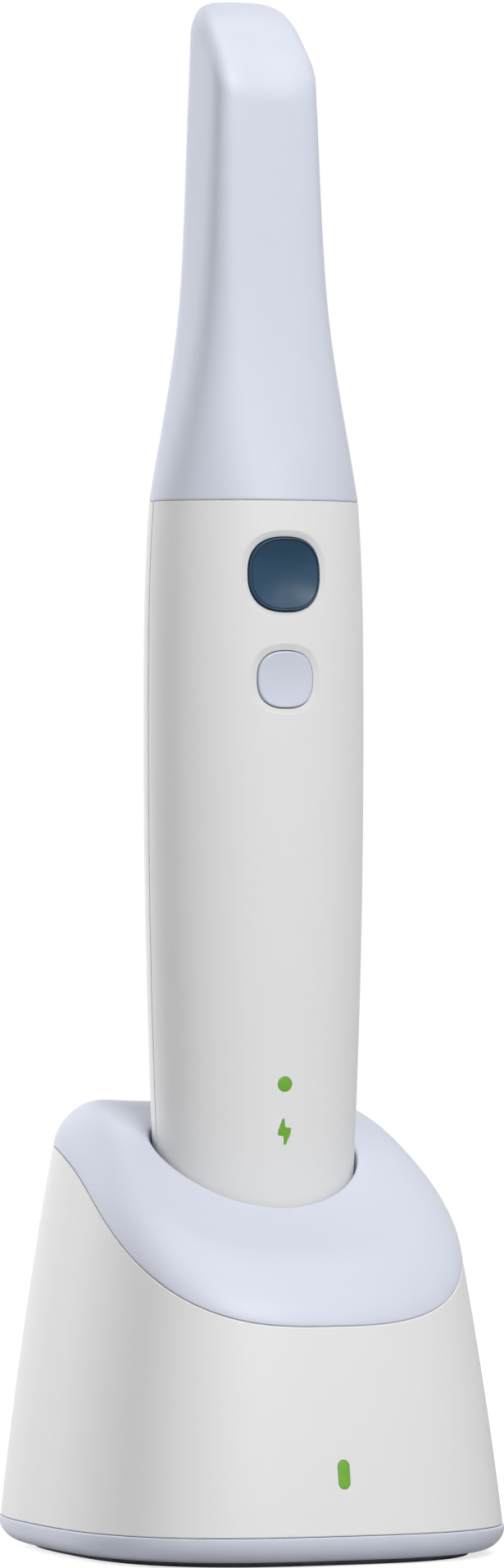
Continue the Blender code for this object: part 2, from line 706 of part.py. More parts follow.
def make_base_light(housing):
    """Upright pill light in the front wall, with a flange behind the wall."""
    wall_y = front_wall_y(PILL_Z)
    lean = math.atan2(front_wall_y(PILL_Z + MM) - wall_y, MM)
    pill = slot_outline(PILL_HALF_HEIGHT, PILL_HALF_WIDTH, upright=True)
    grown = slot_outline(PILL_HALF_HEIGHT + PILL_FLANGE, PILL_HALF_WIDTH + PILL_FLANGE, upright=True)
    behind = HOUSING_WALL + GAP
    rings = [
        along_y(pill, 0.0),
        along_y(pill, behind),
        along_y(grown, behind),
        along_y(grown, behind + PILL_FLANGE_THICKNESS),
    ]
    place = (0.0, wall_y, PILL_Z)
    light = link("base_light_pipe", loft("base_light_pipe", rings), "green_light", None, place)
    light.rotation_euler = (-lean, 0.0, 0.0)
    margin = LIGHT_CLEARANCE
    hole = slot_outline(PILL_HALF_HEIGHT + margin, PILL_HALF_WIDTH + margin, upright=True)
    cutter = loft("pill_hole", [along_y(hole, y) for y in (-MM, HOUSING_WALL + MM)])
    helper = link("pill_hole", cutter, None, None, place)
    helper.rotation_euler = light.rotation_euler
    modify(housing, "DIFFERENCE", helper)


def well_ring(z, margin, rise=None):
    """Ring of the well at a height, or raised to the bezel's top surface where rise is a function."""
    points = []
    for turn in base_turns():
        level = z
        for _ in range(6 if rise else 1):
            half_width, half_depth = handle_half(max(level - HANDPIECE_FOOT_Z, 0.0))
            x = (half_width + WELL_GAP + margin) * math.cos(turn)
            y = HANDPIECE_Y + (half_depth + WELL_GAP + margin) * math.sin(turn)
            level = rise(turn, x, y) if rise else z
        points.append(Vector((x, y, level)))
    return points


def bezel_top(turn, y, share):
    """Height of the bezel's top surface: the seam's curve raised, dished before and behind the well."""
    dish = BEZEL_DISH * math.sin(turn) ** 2 * (1.0 - share)
    return seam_height(y) + BEZEL_RISE - dish


def blended_ring(inner, outer, share, drop=0.0):
    """Ring on the bezel's top surface between two rings, lowered by some depth."""
    points = []
    for turn, low, high in zip(base_turns(), inner, outer):
        spot = low.lerp(high, share)
        points.append(Vector((spot.x, spot.y, bezel_top(turn, spot.y, share) - drop)))
    return points


def make_bezel():
    """Lavender top: rounded edge, dished sloping top, and the deep well that holds the handpiece."""
    rim = WELL_RIM_RADIUS
    rim_ring = well_ring(SEAM_Z, rim, lambda turn, x, y: bezel_top(turn, y, 0.0))
    below_rim = well_ring(SEAM_Z, 0.0, lambda turn, x, y: bezel_top(turn, y, 0.0) - rim)
    mid_rim = well_ring(SEAM_Z, 0.3 * rim, lambda turn, x, y: bezel_top(turn, y, 0.0) - 0.3 * rim)
    low = WELL_FLOOR_Z
    high = min(point.z for point in below_rim)
    rings = [well_ring(z, 0.0) for z in levels(low, high - 2 * MM, 3)]
    rings += [below_rim, mid_rim, rim_ring]

    groove = SEAM_GROOVE / 2
    edge = []
    steps = 4
    for i in range(steps + 1):
        turn = math.pi / 2 * i / steps
        inset = BEZEL_EDGE_RADIUS * (1.0 - math.cos(turn))
        edge.append(seam_ring(groove + (BEZEL_RISE - groove) * math.sin(turn), inset))
    top_edge = edge[-1]
    rings += [blended_ring(rim_ring, top_edge, share) for share in (0.35, 0.7)]
    rings += list(reversed(edge))

    lip = HOUSING_WALL + GAP
    inside = lip + BEZEL_LIP_WALL
    under = max(inside, BEZEL_EDGE_RADIUS)
    rings += [
        seam_ring(groove, lip),
        seam_ring(-BEZEL_LIP, lip),
        seam_ring(-BEZEL_LIP, inside),
        seam_ring(BEZEL_RISE * 0.5 - BEZEL_WALL, inside),
        seam_ring(BEZEL_RISE - BEZEL_WALL, under),
    ]
    under_edge = rings[-1]
    outer_well = well_ring(SEAM_Z, WELL_WALL, lambda turn, x, y: bezel_top(turn, y, 0.0) - BEZEL_WALL)
    rings.append(blended_ring(outer_well, under_edge, 0.5, BEZEL_WALL))
    rings.append(outer_well)
    lowest = min(point.z for point in outer_well)
    rings += [well_ring(z, WELL_WALL) for z in levels(lowest - 2 * MM, WELL_UNDER_Z, 3)]
    bezel = link("base_bezel", loft("base_bezel", rings), "lavender_plastic")
    hole = PIN_RADIUS + PIN_CLEARANCE
    for i, x in enumerate(PIN_XS, 1):
        mesh = turned("floor_hole", ((hole, -MM), (hole, WELL_WALL + MM)), 12)
        cut(bezel, f"floor_hole_{i}", mesh, (x, HANDPIECE_Y, WELL_UNDER_Z))


def make_base_board():
    """Charging board on the tray's posts."""
    clear = HOUSING_WALL + BASE_BOARD_EDGE_CLEARANCE
    half_depth = -front_wall_y(BASE_BOARD_TOP_Z) - clear
    outline = squircle(BASE_BOARD_HALF_WIDTH, half_depth, BASE_BOARD_POWER, 40)
    rings = [[Vector((x, y, z)) for x, y in outline] for z in (BASE_BOARD_Z, BASE_BOARD_TOP_Z)]
    link("charger_board", loft("charger_board", rings), "board")


def make_ballast():
    """Steel weight on the tray floor that keeps the tall handpiece from tipping the base."""
    low = TRAY_FLOOR_Z + GAP
    outline = squircle(BALLAST_HALF_WIDTH, BALLAST_HALF_DEPTH, 8.0, 28)
    rings = [[Vector((x, y, z)) for x, y in outline] for z in (low, low + BALLAST_THICKNESS)]
    link("ballast_plate", loft("ballast_plate", rings), "steel")


def make_pins():
    """Block between board and well floor, and the sprung pins that meet the handpiece's contacts."""
    bottom = BASE_BOARD_TOP_Z + GAP
    top = WELL_UNDER_Z - GAP
    low = (-PIN_BLOCK_HALF_WIDTH, HANDPIECE_Y - PIN_BLOCK_HALF_DEPTH, bottom)
    high = (PIN_BLOCK_HALF_WIDTH, HANDPIECE_Y + PIN_BLOCK_HALF_DEPTH, top)
    holder = link("pin_block", block("pin_block", low, high), "black_plastic")
    flange_top = WELL_UNDER_Z - GAP
    tip = HANDPIECE_FOOT_Z + CONTACT_RECESS - GAP
    bore = PIN_FLANGE_RADIUS + PIN_CLEARANCE
    depth = PIN_FLANGE + PIN_TAIL + PIN_TRAVEL + 2 * GAP
    for i, x in enumerate(PIN_XS, 1):
        mesh = turned("pin_bore", ((bore, -depth), (bore, MM)), 12)
        cut(holder, f"pin_bore_{i}", mesh, (x, HANDPIECE_Y, top))
        profile = (
            (PIN_RADIUS, -PIN_FLANGE - PIN_TAIL),
            (PIN_RADIUS, -PIN_FLANGE),
            (PIN_FLANGE_RADIUS, -PIN_FLANGE),
            (PIN_FLANGE_RADIUS, 0.0),
            (PIN_RADIUS, 0.0),
            (PIN_RADIUS, tip - flange_top - PIN_RADIUS / 3),
            (PIN_RADIUS * 0.6, tip - flange_top),
        )
        place = (x, HANDPIECE_Y, flange_top)
        link(f"charge_pin_{i}", turned("charge_pin", profile, 12), "gold", None, place)


# Handpiece pieces

def make_heel_cap(handpiece):
    """Cap that closes the handle's foot, with a plug inside the shells."""
    rings = []
    steps = 4
    for i in range(steps + 1):
        turn = math.pi / 2 * i / steps
        level = HEEL_RADIUS * (1.0 - math.cos(turn))
        rings.append(handle_ring(level, HEEL_RADIUS * (1.0 - math.sin(turn))))
    plug = SHELL_WALL + GAP
    rings += [
        handle_ring(HEEL_HEIGHT, 0.0),
        handle_ring(HEEL_HEIGHT, plug),
        handle_ring(PLUG_TOP, plug),
    ]
    cap = link("heel_cap", loft("heel_cap", rings), "white_plastic", handpiece)
    hole = CONTACT_RADIUS + GAP
    for i, x in enumerate(PIN_XS, 1):
        depth = CONTACT_RECESS + CONTACT_DEPTH + GAP
        mesh = turned("contact_hole", ((hole, -MM), (hole, depth)), 16)
        cut(cap, f"contact_hole_{i}", mesh, (x, 0.0, 0.0))
        profile = ((CONTACT_RADIUS, 0.0), (CONTACT_RADIUS, CONTACT_DEPTH))
        contact = turned("charge_contact", profile, 16)
        link(f"charge_contact_{i}", contact, "gold", handpiece, (x, 0.0, CONTACT_RECESS))
    head, shank = HEEL_SCREW_HEAD_RADIUS, HEEL_SCREW_RADIUS
    length = FRAME_START + FRAME_PLATE - HEEL_SCREW_SINK
    seat = HEEL_SCREW_SINK + HEEL_SCREW_HEAD + GAP
    for i, (x, y) in enumerate(HEEL_SCREW_PLACES, 1):
        profile = ((head, 0.0), (head, HEEL_SCREW_HEAD), (shank, HEEL_SCREW_HEAD), (shank, length))
        screw = turned("heel_screw", profile, 16)
        link(f"heel_screw_{i}", screw, "steel", handpiece, (x, y, HEEL_SCREW_SINK))
        wide, narrow = head + GAP, shank + GAP
        profile = ((wide, -MM), (wide, seat), (narrow, seat), (narrow, PLUG_TOP + MM))
        cut(cap, f"screw_hole_{i}", turned("screw_hole", profile, 16), (x, y, 0.0))


def half_ring(level, side, inset_outer, inset_inner):
    """C-shaped section of one handle shell: outer arc and inner arc back, clear of the parting plane."""
    points = []
    for inset, order in ((inset_outer, 1), (inset_inner, -1)):
        half_width, half_depth = handle_half(level)
        half_width -= inset
        half_depth -= inset
        start = math.asin(SHELL_PARTING / 2 / half_depth)
        arc = []
        for i in range(SHELL_ARC_POINTS):
            turn = start + (math.pi - 2 * start) * i / (SHELL_ARC_POINTS - 1)
            arc.append(Vector((half_width * math.cos(turn), side * half_depth * math.sin(turn), level)))
        points += arc[::order]
    return points


def make_shell(name, side, handpiece):
    """One long half of the handle's casing, side -1 for the front and 1 for the rear."""
    low = HEEL_HEIGHT + GAP
    high = HANDLE_LENGTH - GAP / 2
    rings = [half_ring(level, side, 0.0, SHELL_WALL) for level in levels(low, high, SHELL_LEVELS)]
    return link(name, loft(name, rings), "white_plastic", handpiece)


def cut_button_hole(shell, name, level, half_width, half_height, border):
    """Squircle hole through the front shell with a shallow flared recess round it."""
    margin = BUTTON_CLEARANCE
    hole = squircle(half_width + margin, half_height + margin, BUTTON_POWER)
    wide = squircle(half_width + margin + border, half_height + margin + border, BUTTON_POWER)
    rings = [
        along_y(hole, handle_front(half_width, level, SHELL_WALL + 2 * MM), level),
        along_y(hole, lambda x, z: handle_front(x, z) + RECESS_DEPTH, level),
        along_y(wide, lambda x, z: handle_front(x, z) - 0.02 * MM, level),
        along_y(wide, lambda x, z: handle_front(x, z) - 2 * MM, level),
    ]
    cut(shell, name, loft(name, rings))


def make_button(name, level, half_width, half_height, dish, finish, handpiece):
    """Dished squircle button: retaining flange behind the shell and a stem towards its switch."""
    outline = squircle(half_width, half_height, BUTTON_POWER)
    reach = BUTTON_CLEARANCE + BUTTON_FLANGE
    flange = squircle(half_width + reach, half_height + reach, BUTTON_POWER)
    wall = [handle_front(x, level + z, SHELL_WALL) for x, z in flange]
    flange_front = max(wall) + GAP
    flange_back = flange_front + BUTTON_FLANGE_THICKNESS
    stem_end = SWITCH_TOP - BUTTON_TRAVEL - BUTTON_STEM_CLEARANCE
    stem_end = max(stem_end, flange_back + 0.05 * MM)
    stem = squircle(BUTTON_STEM_RADIUS, BUTTON_STEM_RADIUS, 2.0)

    def face(share):
        """Depth of the dished face on a scaled outline."""
        def depth(x, z):
            return handle_front(x, z) + BUTTON_RIM_SINK + dish * (1.0 - share * share)
        return depth

    def scaled(share):
        return [(x * share, z * share) for x, z in outline]

    chamfer = 1.0 - BUTTON_RIM_CHAMFER / half_width
    rings = [
        along_y(stem, stem_end, level),
        along_y(stem, flange_back, level),
        along_y(flange, flange_back, level),
        along_y(flange, flange_front, level),
        along_y(outline, flange_front, level),
        along_y(outline, lambda x, z: face(1.0)(x, z) + BUTTON_RIM_CHAMFER / 2, level),
        along_y(scaled(chamfer), face(1.0), level),
    ]
    rings += [along_y(scaled(share), face(share), level) for share in (0.78, 0.52, 0.26)]
    for ring in rings:
        for point in ring:
            point.z -= level
    mesh = loft(name, rings)
    return link(name, mesh, finish, handpiece, (0.0, 0.0, level))


def make_switch(name, level, handpiece):
    """Small push switch on the main board behind a button."""
    half = SWITCH_HALF_WIDTH
    low = (-half, SWITCH_TOP, level - half)
    high = (half, BOARD_FRONT - GAP, level + half)
    link(name, block(name, low, high), "black_plastic", handpiece)


def make_handle_lights(front_shell, handpiece):
    """Round status light and the charge sign, each a light guide from board to surface."""
    back = BOARD_FRONT - GAP
    front = handle_front(0.0, DOT_LEVEL)
    wall = handle_front(DOT_RADIUS * 1.8, DOT_LEVEL, SHELL_WALL) + GAP
    dot = squircle(DOT_RADIUS, DOT_RADIUS, 2.0, 20)
    collar = squircle(DOT_RADIUS * 1.8, DOT_RADIUS * 1.8, 2.0, 20)
    rings = [
        along_y(dot, front, DOT_LEVEL),
        along_y(dot, wall, DOT_LEVEL),
        along_y(collar, wall, DOT_LEVEL),
        along_y(collar, back, DOT_LEVEL),
    ]
    link("status_light_pipe", loft("status_light_pipe", rings), "green_light", handpiece)
    radius = DOT_RADIUS + LIGHT_CLEARANCE
    hole = squircle(radius, radius, 2.0, 20)
    rings = [along_y(hole, y, DOT_LEVEL) for y in (front - MM, wall + MM)]
    cut(front_shell, "dot_hole", loft("dot_hole", rings))

    sign = [(x * SIGN_WIDTH, z * SIGN_HEIGHT) for x, z in SIGN_OUTLINE]
    front = handle_front(0.0, SIGN_LEVEL)
    rings = [along_y(sign, y, SIGN_LEVEL) for y in (front, back)]
    link("charge_light_pipe", loft("charge_light_pipe", rings), "green_light", handpiece)
    wide = SIGN_WIDTH + 3 * LIGHT_CLEARANCE
    tall = SIGN_HEIGHT + 4 * LIGHT_CLEARANCE
    sign = [(x * wide, z * tall) for x, z in SIGN_OUTLINE]
    rings = [along_y(sign, y, SIGN_LEVEL) for y in (front - MM, front + SHELL_WALL + MM)]
    cut(front_shell, "sign_hole", loft("sign_hole", rings))


def make_frame(handpiece):
    """Inner frame: a channel with end plates, a window for the battery and a hole for the light path."""
    low = (-FRAME_HALF_WIDTH, FRAME_WEB_FRONT, FRAME_START)
    high = (FRAME_HALF_WIDTH, FRAME_RAIL_REAR, FRAME_END)
    frame = link("inner_frame", block("inner_frame", low, high), "grey_plastic", handpiece)
    inner = FRAME_HALF_WIDTH - FRAME_RAIL
    low = (-inner, FRAME_WEB_BACK, FRAME_START + FRAME_PLATE)
    high = (inner, FRAME_RAIL_REAR + MM, FRAME_END - FRAME_PLATE)
    cut(frame, "frame_channel", block("frame_channel", low, high))
    reach = BATTERY_Y - FRAME_WEB_BACK
    chord = math.sqrt(max((BATTERY_RADIUS + GAP) ** 2 - reach ** 2, MM ** 2)) + MM
    low = (-chord, FRAME_WEB_FRONT - MM, BATTERY_LEVEL - GAP)
    high = (chord, FRAME_WEB_BACK + MM, BATTERY_LEVEL + BATTERY_LENGTH + GAP)
    cut(frame, "battery_window", block("battery_window", low, high))
    light_hole = turned("light_hole", ((LENS_BORE_RADIUS, -MM), (LENS_BORE_RADIUS, FRAME_PLATE + MM)), 20)
    cut(frame, "light_hole", light_hole, (0.0, LENS_Y, FRAME_END - FRAME_PLATE))
    hole = HEEL_SCREW_RADIUS + GAP / 2
    for i, (x, y) in enumerate(HEEL_SCREW_PLACES, 1):
        mesh = turned("frame_screw_hole", ((hole, -MM), (hole, FRAME_PLATE + MM)), 16)
        cut(frame, f"frame_screw_hole_{i}", mesh, (x, y, FRAME_START))


def make_frame_parts(handpiece):
    """Boards, battery and optics that the inner frame carries."""
    half = FRAME_HALF_WIDTH - FRAME_RAIL - GAP
    low = (-half, FRAME_WEB_BACK + GAP, CHARGE_BOARD_LEVEL)
    high = (half, FRAME_RAIL_REAR, CHARGE_BOARD_LEVEL + CHARGE_BOARD_THICKNESS)
    link("charge_board", block("charge_board", low, high), "board", handpiece)

    cap = BATTERY_LENGTH - BATTERY_CAP
    profile = (
        (BATTERY_RADIUS, 0.0),
        (BATTERY_RADIUS, cap),
        (BATTERY_CAP_RADIUS, cap),
        (BATTERY_CAP_RADIUS, BATTERY_LENGTH),
    )
    place = (0.0, BATTERY_Y, BATTERY_LEVEL)
    link("battery_cell", turned("battery_cell", profile, 28), "battery_wrap", handpiece, place)

    low = (-MAIN_BOARD_HALF_WIDTH, BOARD_FRONT, MAIN_BOARD_START)
    high = (MAIN_BOARD_HALF_WIDTH, BOARD_BACK, FRAME_END)
    link("main_board", block("main_board", low, high), "board", handpiece)

    low = (-RADIO_HALF_WIDTH, BOARD_FRONT - GAP - RADIO_HEIGHT, RADIO_LEVEL - RADIO_HALF_LENGTH)
    high = (RADIO_HALF_WIDTH, BOARD_FRONT - GAP, RADIO_LEVEL + RADIO_HALF_LENGTH)
    link("radio_module", block("radio_module", low, high), "steel", handpiece)

    low = (-half, OPTICS_FRONT, PROJECTOR_LEVEL)
    high = (half, OPTICS_FRONT + PROJECTOR_DEPTH, PROJECTOR_LEVEL + PROJECTOR_LENGTH)
    link("projector_module", block("projector_module", low, high), "black_plastic", handpiece)

    low = (-half, OPTICS_FRONT, CAMERA_BLOCK_LEVEL)
    high = (half, OPTICS_FRONT + CAMERA_BLOCK_DEPTH, CAMERA_BLOCK_TOP)
    camera = link("camera_block", block("camera_block", low, high), "black_plastic", handpiece)
    mesh = turned("camera_bore", ((LENS_BORE_RADIUS, -CAMERA_BORE_DEPTH), (LENS_BORE_RADIUS, MM)), 20)
    cut(camera, "camera_bore", mesh, (0.0, LENS_Y, CAMERA_BLOCK_TOP))

    back = OPTICS_FRONT + CAMERA_BLOCK_DEPTH + GAP
    low = (-half, back, CAMERA_BLOCK_LEVEL)
    high = (half, back + CAMERA_BOARD_THICKNESS, CAMERA_BLOCK_TOP)
    link("camera_board", block("camera_board", low, high), "board", handpiece)

    low_y = back + CAMERA_BOARD_THICKNESS + GAP
    width = HEAT_SINK_HALF_WIDTH
    low = (-width, low_y, CAMERA_BLOCK_LEVEL)
    high = (width, low_y + HEAT_SINK_PLATE, CAMERA_BLOCK_TOP)
    sink = link("heat_sink", block("heat_sink", low, high), "aluminium", handpiece)
    span = CAMERA_BLOCK_LENGTH - HEAT_SINK_PLATE
    for i in range(HEAT_SINK_FINS):
        level = CAMERA_BLOCK_LEVEL + span * i / (HEAT_SINK_FINS - 1)
        low = (-width + 0.2 * MM, low_y + HEAT_SINK_PLATE / 2, level)
        high = (width - 0.2 * MM, low_y + HEAT_SINK_PLATE + HEAT_SINK_FIN, level + HEAT_SINK_PLATE)
        fuse(sink, f"sink_fin_{i + 1}", block("sink_fin", low, high))


def nose_ring(level, inset):
    """Ring of the nose, which follows the inside of the tip with a running clearance."""
    return tip_ring(level, TIP_WALL + NOSE_CLEARANCE + inset, nose_turns())


def make_nose(handpiece):
    """Nose barrel that carries the tip: flange in the handle, tapered oval tube, window seat on top."""
    plug = SHELL_WALL + GAP
    seal = HANDLE_LENGTH + SEAL_LEVEL
    window_seat = NOSE_TOP - WINDOW_THICKNESS - GAP
    rings = [
        handle_ring(FLANGE_START, plug),
        handle_ring(HANDLE_LENGTH, plug),
        nose_ring(HANDLE_LENGTH, 0.0),
        nose_ring(seal, 0.0),
        nose_ring(seal, SEAL_GROOVE),
        nose_ring(seal + SEAL_WIDTH, SEAL_GROOVE),
        nose_ring(seal + SEAL_WIDTH, 0.0),
    ]
    rings += [nose_ring(level, 0.0) for level in levels(seal + NOSE_SHOULDER, NOSE_TOP, 4)]
    rings += [
        nose_ring(NOSE_TOP, NOSE_WALL - WINDOW_LEDGE),
        nose_ring(window_seat, NOSE_WALL - WINDOW_LEDGE),
        nose_ring(window_seat, NOSE_WALL),
    ]
    inner = levels(window_seat - 6 * MM, seal + SEAL_WIDTH + 2 * MM, 3)
    rings += [nose_ring(level, NOSE_WALL) for level in inner]
    thick = NOSE_WALL + SEAL_GROOVE
    rings += [
        nose_ring(seal - MM, thick),
        nose_ring(HANDLE_LENGTH, thick),
        handle_ring(FLANGE_START, plug + 2 * NOSE_WALL + SEAL_GROOVE),
    ]
    link("nose_barrel", loft("nose_barrel", rings, tube=True), "aluminium", handpiece)

    inset = NOSE_WALL - WINDOW_LEDGE + GAP
    rings = [nose_ring(level, inset) for level in (window_seat + GAP, NOSE_TOP)]
    link("nose_window", loft("nose_window", rings), "window_glass", handpiece)

    low, high = seal + GAP / 2, seal + SEAL_WIDTH - GAP / 2
    bulge = -0.15 * MM
    inner = SEAL_GROOVE - GAP / 2
    rings = [nose_ring(low, bulge), nose_ring(high, bulge), nose_ring(high, inner), nose_ring(low, inner)]
    link("tip_seal", loft("tip_seal", rings, tube=True), "dark_rubber", handpiece)

    start = FLANGE_START + GAP
    end = window_seat - GAP
    rings = [
        circle(LENS_RADIUS, start, 24),
        circle(LENS_RADIUS, end, 24),
        circle(LENS_BORE_RADIUS, end, 24),
        circle(LENS_BORE_RADIUS, start, 24),
    ]
    link("lens_barrel", loft("lens_barrel", rings, tube=True), "black_plastic", handpiece, (0.0, LENS_Y, 0.0))


def make_tip(handpiece):
    """Tip sleeve with its hood, open lower end and scan window, and the mirror bonded under the hood."""
    start = HANDLE_LENGTH + GAP / 2
    below_hood = HOOD_LEVEL - TIP_TOP_RADIUS / 2
    outer = levels(start, TIP_BEND_LEVEL, 8) + levels(TIP_BEND_LEVEL, below_hood, 3)[1:]
    outer += levels(HOOD_LEVEL, TIP_TOP - TIP_TOP_RADIUS, 4)
    outer += [TIP_TOP - TIP_TOP_RADIUS * share for share in (0.65, 0.35, 0.12, 0.0)]
    rings = [tip_ring(level) for level in outer[:-1]]
    crown = tip_ring(outer[-2])
    rings.append([Vector((point.x * 0.9, point.y, TIP_TOP)) for point in crown])
    inner_top = TIP_TOP - TIP_TOP_RADIUS - TIP_WALL
    inner = levels(inner_top, below_hood, 4) + levels(TIP_BEND_LEVEL, start, 6)
    rings = list(reversed(rings))
    bore = [tip_ring(level, TIP_WALL) for level in reversed(inner)]
    sleeve = link("tip_sleeve", loft("tip_sleeve", rings + bore), "lavender_plastic", handpiece)
    window = squircle(SCAN_WINDOW_HALF_WIDTH, SCAN_WINDOW_HALF_HEIGHT, 6.0, 28)
    rear = TIP_HEAD_REAR
    rings = [along_y(window, y, SCAN_WINDOW_LEVEL) for y in (rear - 3 * TIP_WALL, rear + 2 * TIP_WALL)]
    cut(sleeve, "scan_window", loft("scan_window", rings))

    _, front, _, _ = tip_section(HOOD_LEVEL + MIRROR_RISE, TIP_WALL)
    offset = (MIRROR_BED + MIRROR_THICKNESS / 2) * math.sqrt(2.0)
    half = MIRROR_LENGTH / 2
    low = (-MIRROR_HALF_WIDTH, -half, -MIRROR_THICKNESS / 2)
    high = (MIRROR_HALF_WIDTH, half, MIRROR_THICKNESS / 2)
    place = (0.0, -front + offset, HOOD_LEVEL + MIRROR_RISE)
    mirror = link("tip_mirror", block("tip_mirror", low, high), "mirror_glass", handpiece, place)
    mirror.rotation_euler = (math.pi / 4, 0.0, 0.0)


def main():
    """Build every piece."""
    clear_scene()
    make_rubber_foot()
    make_tray()
    make_base_screws()
    housing = make_housing()
    make_power_inlet(housing)
    make_base_light(housing)
    make_bezel()
    make_base_board()
    make_ballast()
    make_pins()

    handpiece = bpy.data.objects.new("handpiece", None)
    bpy.context.scene.collection.objects.link(handpiece)
    handpiece.location = (0.0, HANDPIECE_Y, HANDPIECE_FOOT_Z)
    make_heel_cap(handpiece)
    make_shell("rear_shell", 1, handpiece)
    front_shell = make_shell("front_shell", -1, handpiece)
    scan = (SCAN_BUTTON_LEVEL, SCAN_BUTTON_HALF_WIDTH, SCAN_BUTTON_HALF_HEIGHT)
    mode = (MODE_BUTTON_LEVEL, MODE_BUTTON_HALF_WIDTH, MODE_BUTTON_HALF_HEIGHT)
    cut_button_hole(front_shell, "scan_hole", *scan, SCAN_RECESS_BORDER)
    cut_button_hole(front_shell, "mode_hole", *mode, MODE_RECESS_BORDER)
    make_handle_lights(front_shell, handpiece)
    make_button("scan_button", *scan, SCAN_BUTTON_DISH, "navy_plastic", handpiece)
    make_button("mode_button", *mode, MODE_BUTTON_DISH, "lavender_plastic", handpiece)
    make_switch("scan_switch", SCAN_BUTTON_LEVEL, handpiece)
    make_switch("mode_switch", MODE_BUTTON_LEVEL, handpiece)
    make_frame(handpiece)
    make_frame_parts(handpiece)
    make_nose(handpiece)
    make_tip(handpiece)


main()
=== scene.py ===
"""Looks of a wireless intraoral scanner that stands tip up in its charging base.

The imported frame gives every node's place. Fine meshes stand for the outer pieces, and the
inner nodes keep their own shape and get a finish. All lengths are in metres.
"""

import logging
import math
from collections.abc import Callable, Iterable, Sequence
from dataclasses import dataclass, field
from enum import Enum

import bmesh
import bpy
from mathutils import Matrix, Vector


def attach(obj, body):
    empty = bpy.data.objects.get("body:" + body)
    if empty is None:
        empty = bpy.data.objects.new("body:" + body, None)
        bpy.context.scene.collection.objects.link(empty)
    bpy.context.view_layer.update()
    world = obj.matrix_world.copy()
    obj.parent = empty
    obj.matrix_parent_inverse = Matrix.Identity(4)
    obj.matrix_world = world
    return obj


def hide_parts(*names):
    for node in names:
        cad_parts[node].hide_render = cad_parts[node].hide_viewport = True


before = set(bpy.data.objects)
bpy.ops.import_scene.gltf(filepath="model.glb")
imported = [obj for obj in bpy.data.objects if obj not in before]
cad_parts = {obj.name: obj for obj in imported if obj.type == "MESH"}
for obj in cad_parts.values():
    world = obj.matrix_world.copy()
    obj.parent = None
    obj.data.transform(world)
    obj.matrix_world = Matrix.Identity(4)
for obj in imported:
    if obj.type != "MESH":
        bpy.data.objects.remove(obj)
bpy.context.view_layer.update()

LOG = logging.getLogger("scanner")
MM = 0.001
GAP = 0.3 * MM

Ring = list[Vector]
Outline = list[tuple[float, float]]
Colour = tuple[float, float, float]


class Body(Enum):
    """Bodies of the frame that pieces ride on."""

    BASE = "base"
    SCAN_BUTTON = "scan_button"
    MODE_BUTTON = "mode_button"
    TIP = "tip"


class Slot(Enum):
    """Material slots of the record."""

    LAVENDER = "lavender_plastic"
    WHITE = "white_plastic"
    NAVY = "navy_plastic"
    GREEN = "green_light"
    RUBBER = "dark_rubber"
    GREY = "grey_plastic"
    BLACK = "black_plastic"
    BOARD = "circuit_board"
    STEEL = "steel"
    ALUMINIUM = "aluminium"
    GOLD = "contact_gold"
    WRAP = "battery_wrap"
    MIRROR = "mirror_glass"
    WINDOW = "window_glass"


def spread(low: float, high: float, count: int) -> list[float]:
    """Give evenly spaced values.

    Args:
        low: First value.
        high: Last value.
        count: How many values.

    Returns:
        The values from low to high.
    """
    return [low + (high - low) * i / (count - 1) for i in range(count)]


def power_point(turn: float, power: float) -> tuple[float, float]:
    """Find a unit point of a superellipse.

    Args:
        turn: Angle parameter from +X, counterclockwise.
        power: Exponent, 2 for an ellipse and more for squarer corners.

    Returns:
        The point's x and y.
    """
    cosine, sine = math.cos(turn), math.sin(turn)
    x = math.copysign(abs(cosine) ** (2.0 / power), cosine)
    y = math.copysign(abs(sine) ** (2.0 / power), sine)
    return x, y


def even_turns(power: float, count: int) -> list[float]:
    """Find parameters that space points evenly along a superellipse.

    Args:
        power: Exponent of the superellipse.
        count: Points in the ring.

    Returns:
        The parameters, starting at +X.
    """
    steps = 6000
    fine = [math.tau * i / steps for i in range(steps + 1)]
    length = [0.0]
    last = power_point(0.0, power)
    for turn in fine[1:]:
        point = power_point(turn, power)
        length.append(length[-1] + math.dist(last, point))
        last = point
    turns, index = [], 0
    for i in range(count):
        goal = length[-1] * i / count
        while length[index + 1] < goal:
            index += 1
        share = (goal - length[index]) / (length[index + 1] - length[index])
        turns.append(fine[index] + share * math.tau / steps)
    return turns


def squircle(half_width: float, half_height: float, power: float, count: int = 96) -> Outline:
    """Give the closed outline of a superellipse.

    Args:
        half_width: Half size along the first axis.
        half_height: Half size along the second axis.
        power: Exponent of the superellipse.
        count: Points in the outline.

    Returns:
        Pairs along the outline, evenly spaced.
    """
    units = [power_point(turn, power) for turn in even_turns(power, count)]
    return [(x * half_width, y * half_height) for x, y in units]


def slot_outline(half_long: float, half_short: float, steps: int = 20, standing: bool = False) -> Outline:
    """Give the outline of a slot with round ends.

    Args:
        half_long: Half of its length.
        half_short: Half of its width.
        steps: Steps round each end.
        standing: Whether it stands instead of lying.

    Returns:
        Pairs along the outline.
    """
    straight = half_long - half_short
    points = []
    for side, start in ((1, -math.pi / 2), (-1, math.pi / 2)):
        for i in range(steps + 1):
            turn = start + math.pi * i / steps
            points.append((side * straight + half_short * math.cos(turn), half_short * math.sin(turn)))
    return [(-z, x) for x, z in points] if standing else points


